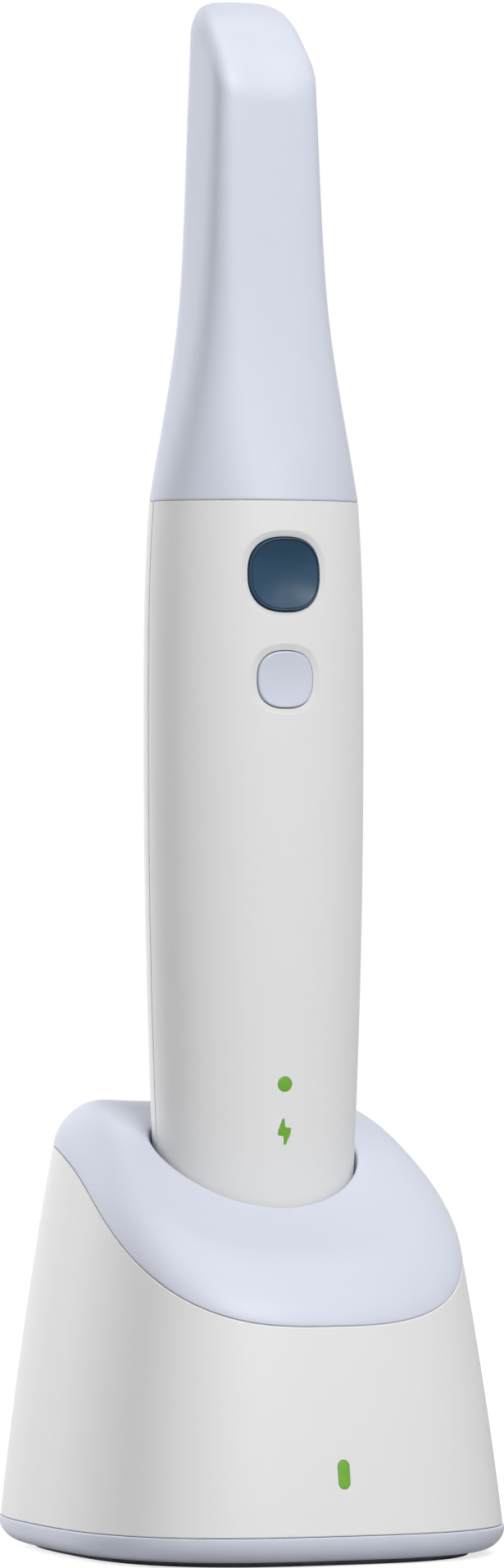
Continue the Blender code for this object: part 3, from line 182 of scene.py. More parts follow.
def rounded_outline(corners: Sequence[tuple[float, float]], radius: float, steps: int = 5) -> Outline:
    """Round the corners of a polygon.

    Args:
        corners: The polygon's corners in order.
        radius: Length cut off each side at a corner.
        steps: Steps round each corner.

    Returns:
        Pairs along the rounded outline.
    """
    points = []
    for i, corner in enumerate(corners):
        here = Vector(corner)
        before = Vector(corners[i - 1]) - here
        after = Vector(corners[(i + 1) % len(corners)]) - here
        reach = min(radius, before.length * 0.45, after.length * 0.45)
        start, end = here + before.normalized() * reach, here + after.normalized() * reach
        for share in spread(0.0, 1.0, steps):
            near = start.lerp(here, share).lerp(here.lerp(end, share), share)
            points.append((near.x, near.y))
    return points


def grown_corners(corners: Sequence[tuple[float, float]], margin: float) -> Outline:
    """Move every side of a closed outline outwards by a margin.

    Args:
        corners: The outline's corners, anticlockwise.
        margin: Distance that each side moves.

    Returns:
        The moved corners.
    """
    grown = []
    for i, corner in enumerate(corners):
        here = Vector(corner)
        arriving = (here - Vector(corners[i - 1])).normalized()
        leaving = (Vector(corners[(i + 1) % len(corners)]) - here).normalized()
        shift = (arriving + leaving) * (margin / (1.0 + arriving.dot(leaving)))
        grown.append((here.x + shift.y, here.y - shift.x))
    return grown


def quarter(steps: int) -> list[float]:
    """Give angles from zero to a right angle in even steps."""
    return spread(0.0, math.pi / 2, steps + 1)


class Skin:
    """Rings of points that are skinned into one closed mesh."""

    def __init__(self, name: str) -> None:
        """Start an empty skin.

        Args:
            name: Name of the mesh.
        """
        self.name = name
        self.rings: list[Ring] = []

    def add(self, rings: Iterable[Ring]) -> None:
        """Append rings.

        Args:
            rings: Rings in order; a ring of one point closes an end to a pole.
        """
        self.rings.extend(rings)

    def mesh(self, tube: bool = False, crease: float = 34.0) -> bpy.types.Mesh:
        """Skin the rings.

        Args:
            tube: Whether the last ring joins the first.
            crease: Angle in degrees above which an edge stays hard.

        Returns:
            The closed mesh, shaded smooth with its hard edges kept.
        """
        shape = bmesh.new()
        rows = [[shape.verts.new(point) for point in ring] for ring in self.rings]
        pairs = list(zip(rows, rows[1:]))
        if tube:
            pairs.append((rows[-1], rows[0]))
        for low, high in pairs:
            count = max(len(low), len(high))
            for i in range(count):
                after = (i + 1) % count
                if len(low) == 1:
                    shape.faces.new((low[0], high[after], high[i]))
                elif len(high) == 1:
                    shape.faces.new((low[i], low[after], high[0]))
                else:
                    shape.faces.new((low[i], low[after], high[after], high[i]))
        if not tube:
            for row in (rows[0], rows[-1]):
                if len(row) > 1:
                    shape.faces.new(row)
        bmesh.ops.recalc_face_normals(shape, faces=shape.faces)
        made = bpy.data.meshes.new(self.name)
        shape.to_mesh(made)
        shape.free()
        made.shade_smooth()
        made.set_sharp_from_angle(angle=math.radians(crease))
        return made


def upright(outline: Outline, depth: float | Callable[[float, float], float], level: float = 0.0) -> Ring:
    """Stand an outline in the XZ plane.

    Args:
        outline: Pairs of x and height.
        depth: One y for all, or a function of x and height.
        level: Height of the outline's centre.

    Returns:
        The ring.
    """
    points = []
    for x, z in outline:
        y = depth(x, level + z) if callable(depth) else depth
        points.append(Vector((x, y, level + z)))
    return points


class Carver:
    """Cuts helper meshes out of a piece and gives its outer skin back its true normals."""

    def __init__(self, piece: bpy.types.Object) -> None:
        """Remember the piece.

        Args:
            piece: The piece to cut.
        """
        self.piece = piece

    def cut(self, helpers: Sequence[bpy.types.Mesh], crease: float = 34.0) -> None:
        """Cut each helper away and keep the result as the piece's mesh.

        Args:
            helpers: Closed meshes in the shared frame. The cut keeps a helper's own finish where it has one.
            crease: Angle in degrees above which an edge stays hard.
        """
        helper_objects = []
        for helper in helpers:
            tool = bpy.data.objects.new(helper.name, helper)
            bpy.context.scene.collection.objects.link(tool)
            modifier = self.piece.modifiers.new(helper.name, "BOOLEAN")
            modifier.operation = "DIFFERENCE"
            modifier.solver = "EXACT"
            modifier.material_mode = "TRANSFER"
            modifier.object = tool
            helper_objects.append(tool)
        graph = bpy.context.evaluated_depsgraph_get()
        result = bpy.data.meshes.new_from_object(self.piece.evaluated_get(graph))
        self.piece.modifiers.clear()
        self.piece.data = result
        for tool in helper_objects:
            bpy.data.objects.remove(tool)
        result.shade_smooth()
        result.set_sharp_from_angle(angle=math.radians(crease))

    def true_normals(self, form: Callable[[Vector], float], reach: float = 4e-6) -> None:
        """Give faces on a known form that form's own normals, so cuts leave no shading marks.

        Args:
            form: Signed distance-like function in metres, zero on the form.
            reach: How near to the form a face's corners have to be.
        """
        mesh = self.piece.data
        step = 2e-5
        slopes: list[Vector | None] = []
        for vertex in mesh.vertices:
            if abs(form(vertex.co)) > reach:
                slopes.append(None)
                continue
            slope = Vector(
                form(vertex.co + axis) - form(vertex.co - axis)
                for axis in (Vector((step, 0, 0)), Vector((0, step, 0)), Vector((0, 0, step)))
            )
            slopes.append(slope.normalized())
        normals = [(0.0, 0.0, 0.0)] * len(mesh.loops)
        for face in mesh.polygons:
            found = [slopes[v] for v in face.vertices]
            if all(n is not None and n.dot(face.normal) > 0.9 for n in found):
                for loop, normal in zip(face.loop_indices, found):
                    normals[loop] = tuple(normal)
        mesh.normals_split_custom_set(normals)


class ShaderGroups:
    """Node groups that several finishes share, each built once."""

    wave_scale: float = 60.0
    cloud_scale: float = 45.0
    grain_scale: float = 900.0
    smear_scale: float = 110.0
    smear_start: float = 0.52
    smear_gloss: float = -8.0

    @staticmethod
    def begin(
        name: str, inputs: dict[str, tuple[str, object]], outputs: dict[str, str]
    ) -> bpy.types.NodeTree:
        """Start a group with named sockets.

        Args:
            name: Name of the group.
            inputs: Socket type and default of each input.
            outputs: Socket type of each output.

        Returns:
            The group with its input and output nodes.
        """
        tree = bpy.data.node_groups.new(name, "ShaderNodeTree")
        for title, (kind, default) in inputs.items():
            socket = tree.interface.new_socket(title, in_out="INPUT", socket_type=kind)
            if default is not None:
                socket.default_value = default
        for title, kind in outputs.items():
            tree.interface.new_socket(title, in_out="OUTPUT", socket_type=kind)
        tree.nodes.new("NodeGroupInput")
        tree.nodes.new("NodeGroupOutput")
        return tree

    @staticmethod
    def ends(tree: bpy.types.NodeTree) -> tuple[bpy.types.Node, bpy.types.Node]:
        """Give the input node and the output node of a group."""
        return tree.nodes["Group Input"], tree.nodes["Group Output"]

    @staticmethod
    def noise(
        tree: bpy.types.NodeTree, place: bpy.types.NodeSocket, scale: object, detail: float
    ) -> bpy.types.Node:
        """Add a noise texture.

        Args:
            tree: Tree that gets the node.
            place: Socket with the position.
            scale: A number, or a socket that gives it.
            detail: Octaves of detail.

        Returns:
            The noise node.
        """
        node = tree.nodes.new("ShaderNodeTexNoise")
        node.inputs["Detail"].default_value = detail
        tree.links.new(place, node.inputs["Vector"])
        if isinstance(scale, (int, float)):
            node.inputs["Scale"].default_value = scale
        else:
            tree.links.new(scale, node.inputs["Scale"])
        return node

    @staticmethod
    def sum_of(tree: bpy.types.NodeTree, operation: str, *terms: object) -> bpy.types.NodeSocket:
        """Add a math node.

        Args:
            tree: Tree that gets the node.
            operation: Blender's name of the operation.
            terms: Numbers or sockets, in order.

        Returns:
            The result's socket.
        """
        node = tree.nodes.new("ShaderNodeMath")
        node.operation = operation
        for socket, term in zip(node.inputs, terms):
            if isinstance(term, (int, float)):
                socket.default_value = term
            else:
                tree.links.new(term, socket)
        return node.outputs[0]

    @classmethod
    def moulded_grain(cls) -> bpy.types.NodeTree:
        """Height of a fine moulded surface with the slow waviness of a large wall.

        Returns:
            The group, built on first use.
        """
        tree = bpy.data.node_groups.get("moulded_grain")
        if tree:
            return tree
        inputs = {
            "Position": ("NodeSocketVector", None),
            "Fineness": ("NodeSocketFloat", 2600.0),
            "Waviness": ("NodeSocketFloat", 0.5),
        }
        tree = cls.begin("moulded_grain", inputs, {"Height": "NodeSocketFloat"})
        start, end = cls.ends(tree)
        fine = cls.noise(tree, start.outputs["Position"], start.outputs["Fineness"], 3.0)
        slow = cls.noise(tree, start.outputs["Position"], cls.wave_scale, 1.0)
        wave = cls.sum_of(tree, "MULTIPLY", slow.outputs["Fac"], start.outputs["Waviness"])
        tree.links.new(cls.sum_of(tree, "ADD", fine.outputs["Fac"], wave), end.inputs["Height"])
        return tree

    @classmethod
    def tint_drift(cls) -> bpy.types.NodeTree:
        """Base colour that drifts a little lighter and darker over the surface.

        Returns:
            The group, built on first use.
        """
        tree = bpy.data.node_groups.get("tint_drift")
        if tree:
            return tree
        inputs = {
            "Position": ("NodeSocketVector", None),
            "Colour": ("NodeSocketColor", None),
            "Drift": ("NodeSocketFloat", 0.02),
            "Fineness": ("NodeSocketFloat", 400.0),
        }
        tree = cls.begin("tint_drift", inputs, {"Colour": "NodeSocketColor"})
        start, end = cls.ends(tree)
        cloud = cls.noise(tree, start.outputs["Position"], cls.cloud_scale, 2.0)
        speck = cls.noise(tree, start.outputs["Position"], start.outputs["Fineness"], 2.0)
        both = cls.sum_of(tree, "ADD", cloud.outputs["Fac"], speck.outputs["Fac"])
        centred = cls.sum_of(tree, "SUBTRACT", both, 1.0)
        level = cls.sum_of(tree, "MULTIPLY_ADD", centred, start.outputs["Drift"], 1.0)
        mixed = tree.nodes.new("ShaderNodeVectorMath")
        mixed.operation = "SCALE"
        tree.links.new(start.outputs["Colour"], mixed.inputs[0])
        tree.links.new(level, mixed.inputs["Scale"])
        tree.links.new(mixed.outputs["Vector"], end.inputs["Colour"])
        return tree

    @classmethod
    def gloss_drift(cls) -> bpy.types.NodeTree:
        """Roughness with grain-sized variation and faint marks where hands have been.

        Returns:
            The group, built on first use.
        """
        tree = bpy.data.node_groups.get("gloss_drift")
        if tree:
            return tree
        inputs = {
            "Position": ("NodeSocketVector", None),
            "Roughness": ("NodeSocketFloat", 0.4),
            "Drift": ("NodeSocketFloat", 0.04),
            "Marks": ("NodeSocketFloat", 0.03),
        }
        tree = cls.begin("gloss_drift", inputs, {"Roughness": "NodeSocketFloat"})
        start, end = cls.ends(tree)
        grain = cls.noise(tree, start.outputs["Position"], cls.grain_scale, 2.0)
        smear = cls.noise(tree, start.outputs["Position"], cls.smear_scale, 4.0)
        patch = cls.sum_of(tree, "SUBTRACT", smear.outputs["Fac"], cls.smear_start)
        patch = cls.sum_of(tree, "MAXIMUM", patch, 0.0)
        patch = cls.sum_of(tree, "MULTIPLY", patch, start.outputs["Marks"])
        centred = cls.sum_of(tree, "SUBTRACT", grain.outputs["Fac"], 0.5)
        drift = cls.sum_of(tree, "MULTIPLY", centred, start.outputs["Drift"])
        level = cls.sum_of(tree, "ADD", start.outputs["Roughness"], drift)
        level = cls.sum_of(tree, "MULTIPLY_ADD", patch, cls.smear_gloss, level)
        tree.links.new(level, end.inputs["Roughness"])
        return tree

    @classmethod
    def drawn_lines(cls) -> bpy.types.NodeTree:
        """Height of fine lines along one direction, as on rolled or turned metal.

        Returns:
            The group, built on first use.
        """
        tree = bpy.data.node_groups.get("drawn_lines")
        if tree:
            return tree
        inputs = {
            "Position": ("NodeSocketVector", None),
            "Stretch": ("NodeSocketVector", (1.0, 1.0, 0.05)),
            "Fineness": ("NodeSocketFloat", 4000.0),
        }
        tree = cls.begin("drawn_lines", inputs, {"Height": "NodeSocketFloat"})
        start, end = cls.ends(tree)
        squeeze = tree.nodes.new("ShaderNodeVectorMath")
        squeeze.operation = "MULTIPLY"
        tree.links.new(start.outputs["Position"], squeeze.inputs[0])
        tree.links.new(start.outputs["Stretch"], squeeze.inputs[1])
        lines = cls.noise(tree, squeeze.outputs["Vector"], start.outputs["Fineness"], 2.0)
        tree.links.new(lines.outputs["Fac"], end.inputs["Height"])
        return tree


@dataclass(frozen=True)
class Finish:
    """A finish: colour, gloss and relief, each varied over the surface by the shared groups."""

    title: str
    slot: Slot
    colour: Colour
    roughness: float = 0.4
    tint: float = 0.02
    tint_fineness: float = 400.0
    gloss: float = 0.05
    marks: float = 0.02
    fineness: float = 3600.0
    waviness: float = 0.3
    relief: float = 0.45
    relief_depth: float = 0.02 * MM
    metallic: float = 0.0
    specular: float = 0.5

    def material(self) -> bpy.types.Material:
        """Give the material, built on first use.

        Returns:
            The node material of this finish.
        """
        found = bpy.data.materials.get(self.title)
        if found:
            return found
        made = bpy.data.materials.new(self.title)
        made.use_nodes = True
        tree = made.node_tree
        shader = tree.nodes["Principled BSDF"]
        place = tree.nodes.new("ShaderNodeTexCoord").outputs["Object"]
        tree.links.new(self.colour_socket(tree, place), shader.inputs["Base Color"])
        tree.links.new(self.roughness_socket(tree, place), shader.inputs["Roughness"])
        bump = tree.nodes.new("ShaderNodeBump")
        bump.inputs["Strength"].default_value = self.relief
        bump.inputs["Distance"].default_value = self.relief_depth
        tree.links.new(self.height_socket(tree, place), bump.inputs["Height"])
        tree.links.new(bump.outputs["Normal"], shader.inputs["Normal"])
        shader.inputs["Metallic"].default_value = self.metallic
        shader.inputs["Specular IOR Level"].default_value = self.specular
        self.constants(made, shader)
        return made

    def group(
        self, tree: bpy.types.NodeTree, shared: bpy.types.NodeTree, place: bpy.types.NodeSocket
    ) -> bpy.types.Node:
        """Place a shared group in the material.

        Args:
            tree: The material's tree.
            shared: The group.
            place: Socket with the position.

        Returns:
            The group node with its position linked.
        """
        node = tree.nodes.new("ShaderNodeGroup")
        node.node_tree = shared
        tree.links.new(place, node.inputs["Position"])
        return node

    def colour_socket(self, tree: bpy.types.NodeTree, place: bpy.types.NodeSocket) -> bpy.types.NodeSocket:
        """Give the varied base colour.

        Args:
            tree: The material's tree.
            place: Socket with the position.

        Returns:
            The colour's socket.
        """
        node = self.group(tree, ShaderGroups.tint_drift(), place)
        node.inputs["Colour"].default_value = (*self.colour, 1.0)
        node.inputs["Drift"].default_value = self.tint
        node.inputs["Fineness"].default_value = self.tint_fineness
        return node.outputs["Colour"]

    def roughness_socket(self, tree: bpy.types.NodeTree, place: bpy.types.NodeSocket) -> bpy.types.NodeSocket:
        """Give the varied roughness.

        Args:
            tree: The material's tree.
            place: Socket with the position.

        Returns:
            The roughness's socket.
        """
        node = self.group(tree, ShaderGroups.gloss_drift(), place)
        node.inputs["Roughness"].default_value = self.roughness
        node.inputs["Drift"].default_value = self.gloss
        node.inputs["Marks"].default_value = self.marks
        return node.outputs["Roughness"]

    def height_socket(self, tree: bpy.types.NodeTree, place: bpy.types.NodeSocket) -> bpy.types.NodeSocket:
        """Give the relief's height.

        Args:
            tree: The material's tree.
            place: Socket with the position.

        Returns:
            The height's socket.
        """
        node = self.group(tree, ShaderGroups.moulded_grain(), place)
        node.inputs["Fineness"].default_value = self.fineness
        node.inputs["Waviness"].default_value = self.waviness
        return node.outputs["Height"]

    def constants(self, made: bpy.types.Material, shader: bpy.types.Node) -> None:
        """Set what is the same all over the surface, straight on the shader."""


@dataclass(frozen=True)
class LitFinish(Finish):
    """A light guide that glows a little."""

    glow: float = 0.1

    def constants(self, made: bpy.types.Material, shader: bpy.types.Node) -> None:
        """Let the guide give off its own colour."""
        shader.inputs["Emission Color"].default_value = (*self.colour, 1.0)
        shader.inputs["Emission Strength"].default_value = self.glow


@dataclass(frozen=True)
class MetalFinish(Finish):
    """A metal with fine lines along one direction."""

    metallic: float = 1.0
    stretch: Colour = (1.0, 1.0, 0.05)

    def height_socket(self, tree: bpy.types.NodeTree, place: bpy.types.NodeSocket) -> bpy.types.NodeSocket:
        """Give the height of the drawn lines.

        Args:
            tree: The material's tree.
            place: Socket with the position.

        Returns:
            The height's socket.
        """
        node = self.group(tree, ShaderGroups.drawn_lines(), place)
        node.inputs["Stretch"].default_value = self.stretch
        node.inputs["Fineness"].default_value = self.fineness
        return node.outputs["Height"]


@dataclass(frozen=True)
class BoardFinish(Finish):
    """Solder mask over copper tracks."""

    track: Colour = (0.05, 0.24, 0.10)
    track_scale: float = 900.0
    track_width: float = 0.06

    def colour_socket(self, tree: bpy.types.NodeTree, place: bpy.types.NodeSocket) -> bpy.types.NodeSocket:
        """Lighten the mask where tracks run under it.

        Args:
            tree: The material's tree.
            place: Socket with the position.

        Returns:
            The colour's socket.
        """
        tracks = tree.nodes.new("ShaderNodeTexBrick")
        tracks.inputs["Scale"].default_value = self.track_scale
        tracks.inputs["Mortar Size"].default_value = self.track_width
        tracks.inputs["Color1"].default_value = (*self.colour, 1.0)
        tracks.inputs["Color2"].default_value = (*self.colour, 1.0)
        tracks.inputs["Mortar"].default_value = (*self.track, 1.0)
        tree.links.new(place, tracks.inputs["Vector"])
        node = self.group(tree, ShaderGroups.tint_drift(), place)
        tree.links.new(tracks.outputs["Color"], node.inputs["Colour"])
        node.inputs["Drift"].default_value = self.tint
        return node.outputs["Colour"]


@dataclass(frozen=True)
class GlassFinish(Finish):
    """Coated optical glass."""

    clearness: float = 0.8
    index: float = 1.5

    def constants(self, made: bpy.types.Material, shader: bpy.types.Node) -> None:
        """Let light through."""
        shader.inputs["Transmission Weight"].default_value = self.clearness
        shader.inputs["IOR"].default_value = self.index


class Palette:
    """The finishes of this scanner."""

    lavender = Finish("lavender_satin", Slot.LAVENDER, (0.685, 0.715, 0.815), 0.44, 0.012)
    white = Finish("white_satin", Slot.WHITE, (0.83, 0.83, 0.83), 0.40, 0.010)
    # Darker copy of the white for the button recesses: painted shade.
    ring = Finish("white_recess_painted_shade", Slot.WHITE, (0.77, 0.77, 0.77), 0.55, 0.02, relief=0.8)
    navy = Finish(
        "navy_gloss", Slot.NAVY, (0.015, 0.056, 0.108), 0.39, 0.05,
        gloss=0.03, marks=0.01, relief=0.12, specular=0.34,
    )
    mode = Finish("lavender_key", Slot.LAVENDER, (0.66, 0.69, 0.80), 0.36, 0.012, relief=0.15)
    green = LitFinish("green_guide", Slot.GREEN, (0.135, 0.37, 0.022), 0.42, 0.06, relief=0.3)
    rubber = Finish("foot_rubber", Slot.RUBBER, (0.30, 0.31, 0.34), 0.78, 0.08, fineness=1800.0, relief=0.6)
    grey = Finish("frame_grey", Slot.GREY, (0.20, 0.21, 0.22), 0.5, 0.04, relief=0.4)
    black = Finish("optics_black", Slot.BLACK, (0.02, 0.02, 0.022), 0.5, 0.08, relief=0.5)
    board = BoardFinish("solder_mask", Slot.BOARD, (0.02, 0.14, 0.06), 0.4, 0.06, relief=0.3)
    steel = MetalFinish("plated_steel", Slot.STEEL, (0.60, 0.60, 0.61), 0.32, 0.05)
    inlet = MetalFinish("inlet_steel", Slot.STEEL, (0.50, 0.50, 0.52), 0.36, 0.05, stretch=(0.05, 1.0, 1.0))
    aluminium = MetalFinish(
        "turned_aluminium", Slot.ALUMINIUM, (0.72, 0.72, 0.73), 0.38, 0.03, stretch=(1.0, 1.0, 4.0)
    )
    gold = MetalFinish("contact_plating", Slot.GOLD, (0.83, 0.62, 0.25), 0.25, 0.04)
    wrap = Finish("cell_wrap", Slot.WRAP, (0.05, 0.16, 0.34), 0.35, 0.05, relief=0.2)
    mirror = Finish(
        "mirror_coat", Slot.MIRROR, (0.90, 0.90, 0.90), 0.05, 0.01,
        gloss=0.01, marks=0.0, relief=0.02, metallic=1.0,
    )
    window = GlassFinish(
        "window_coat", Slot.WINDOW, (0.80, 0.84, 0.86), 0.05, 0.01, gloss=0.01, marks=0.0, relief=0.02
    )


class Workshop:
    """Links finished pieces into the scene and ties them to the frame."""

    @staticmethod
    def place(
        name: str, mesh: bpy.types.Mesh, finish: Finish, body: Body, nodes: Sequence[str] = ()
    ) -> bpy.types.Object:
        """Link a mesh as a piece.

        Args:
            name: Name of the piece.
            mesh: Its mesh, in the shared frame.
            finish: Its finish.
            body: Body it rides on.
            nodes: CAD nodes it stands for.

        Returns:
            The piece.
        """
        piece = bpy.data.objects.new(name, mesh)
        bpy.context.scene.collection.objects.link(piece)
        Workshop.dress(piece, finish)
        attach(piece, body.value)
        if nodes:
            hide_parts(*nodes)
        return piece

    @staticmethod
    def dress(piece: bpy.types.Object, finish: Finish) -> None:
        """Give a piece one finish all over.

        Args:
            piece: The piece or CAD node.
            finish: Its finish.
        """
        piece.data.materials.clear()
        piece.data.materials.append(finish.material())


@dataclass(frozen=True)
class BaseForm:
    """Outer form of the base: a tapered superellipse with a sloping seam near its top."""

    half_width: float = 37.7 * MM
    half_depth: float = 42.0 * MM
    power: float = 2.9
    side_draft: float = 0.106
    front_draft: float = 0.146
    rear_draft: float = 0.061
    bow: float = 0.6
    foot_z: float = 5.0 * MM
    seam_z: float = 60.4 * MM
    seam_span: float = 40.0 * MM
    seam_rise: float = 18.3 * MM
    seam_crown: float = 11.8 * MM
    seam_roll: float = 4.4 * MM
    seam_centre_y: float = -1.6 * MM
    seam_passes: int = 14
    turns: tuple[float, ...] = tuple(even_turns(2.9, 192))

    def halves(self, z: float, rear: bool, inset: float = 0.0) -> tuple[float, float]:
        """Half width and half depth at a height.

        Args:
            z: Height above the table.
            rear: Whether the half depth is the rear's.
            inset: Distance moved inwards.

        Returns:
            Half width and half depth.
        """
        height = max(z - self.foot_z, 0.0)
        bow = self.bow * height * height
        draft = self.rear_draft if rear else self.front_draft
        half_width = self.half_width - self.side_draft * height - bow - inset
        return half_width, self.half_depth - draft * height - bow - inset

    def point(self, turn: float, z: float, inset: float = 0.0) -> Vector:
        """Point of the form at a turn and height.

        Args:
            turn: Angle parameter of the section, from +X.
            z: Height above the table.
            inset: Distance moved inwards.

        Returns:
            The point in the shared frame.
        """
        x, y = power_point(turn, self.power)
        half_width, half_depth = self.halves(z, y >= 0.0, inset)
        return Vector((x * half_width, y * half_depth, z))

    def ring(self, z: float, inset: float = 0.0) -> Ring:
        """Level ring of the form."""
        return [self.point(turn, z, inset) for turn in self.turns]

    def seam_height(self, y: float) -> float:
        """Height of the seam under the bezel at a depth."""
        t = (y - self.seam_centre_y) / self.seam_span
        return self.seam_z + self.seam_rise * t - self.seam_crown * t * t - self.seam_roll * t**3

    def seam_point(self, turn: float, rise: float = 0.0, inset: float = 0.0) -> Vector:
        """Point of the form where it meets the seam, raised by some height.

        Args:
            turn: Angle parameter of the section, from +X.
            rise: Height above the seam.
            inset: Distance moved inwards.

        Returns:
            The point in the shared frame.
        """
        z = self.seam_z
        for _ in range(self.seam_passes):
            point = self.point(turn, z, inset)
            z = self.seam_height(point.y) + rise
        return Vector((point.x, point.y, z))

    def seam_ring(self, rise: float = 0.0, inset: float = 0.0) -> Ring:
        """Ring along the seam, raised by some height."""
        return [self.seam_point(turn, rise, inset) for turn in self.turns]

    def off(self, point: Vector) -> float:
        """Distance-like measure of how far a point lies outside the form.

        Args:
            point: Point in the shared frame.

        Returns:
            Metres, below zero inside and zero on the form.
        """
        half_width, half_depth = self.halves(point.z, point.y >= 0.0)
        x, y = abs(point.x) / half_width, abs(point.y) / half_depth
        return ((x**self.power + y**self.power) ** (1.0 / self.power) - 1.0) * half_width

    def rear_y(self, z: float) -> float:
        """Depth of the rear face on the centre line."""
        return self.halves(z, True)[1]


@dataclass(frozen=True)
class HandleForm:
    """Outer form of the handle: an oval section that swells slowly and narrows to the joint."""

    foot_y: float = -1.6 * MM
    foot_z: float = 32.6 * MM
    length: float = 140.0 * MM
    widest_level: float = 102.7 * MM
    half_width: float = 18.65 * MM
    half_depth: float = 14.5 * MM
    heel_width: float = 15.3 * MM
    heel_depth: float = 12.1 * MM
    joint_width: float = 17.7 * MM
    joint_depth: float = 13.8 * MM

    def halves(self, level: float) -> tuple[float, float]:
        """Half width and half depth at a level above the handle's foot.

        Args:
            level: Level above the handle's foot.

        Returns:
            Half width and half depth.
        """
        if level < self.widest_level:
            fall = ((self.widest_level - level) / self.widest_level) ** 2
            width, depth = self.heel_width, self.heel_depth
        else:
            fall = ((level - self.widest_level) / (self.length - self.widest_level)) ** 3
            width, depth = self.joint_width, self.joint_depth
        half_width = self.half_width - (self.half_width - width) * fall
        return half_width, self.half_depth - (self.half_depth - depth) * fall

    def point(self, turn: float, level: float, inset: float = 0.0) -> Vector:
        """Point of the handle's section at a turn and level.

        Args:
            turn: Angle parameter of the section, from +X.
            level: Level above the handle's foot.
            inset: Distance moved inwards.

        Returns:
            The point in the shared frame.
        """
        half_width, half_depth = self.halves(level)
        x = (half_width - inset) * math.cos(turn)
        y = self.foot_y + (half_depth - inset) * math.sin(turn)
        return Vector((x, y, self.foot_z + level))

    def front(self, x: float, z: float, inset: float = 0.0) -> float:
        """Depth of the front surface at a place.

        Args:
            x: Distance from the centre line.
            z: Height above the table.
            inset: Distance moved inwards.

        Returns:
            The surface's y.
        """
        half_width, half_depth = self.halves(z - self.foot_z)
        share = min(abs(x) / (half_width - inset), 0.999)
        return self.foot_y - (half_depth - inset) * math.sqrt(1.0 - share * share)

    def off(self, point: Vector) -> float:
        """Distance-like measure of how far a point lies outside the handle."""
        half_width, half_depth = self.halves(point.z - self.foot_z)
        return (math.hypot(point.x / half_width, (point.y - self.foot_y) / half_depth) - 1.0) * half_depth


BASE = BaseForm()
HANDLE = HandleForm()


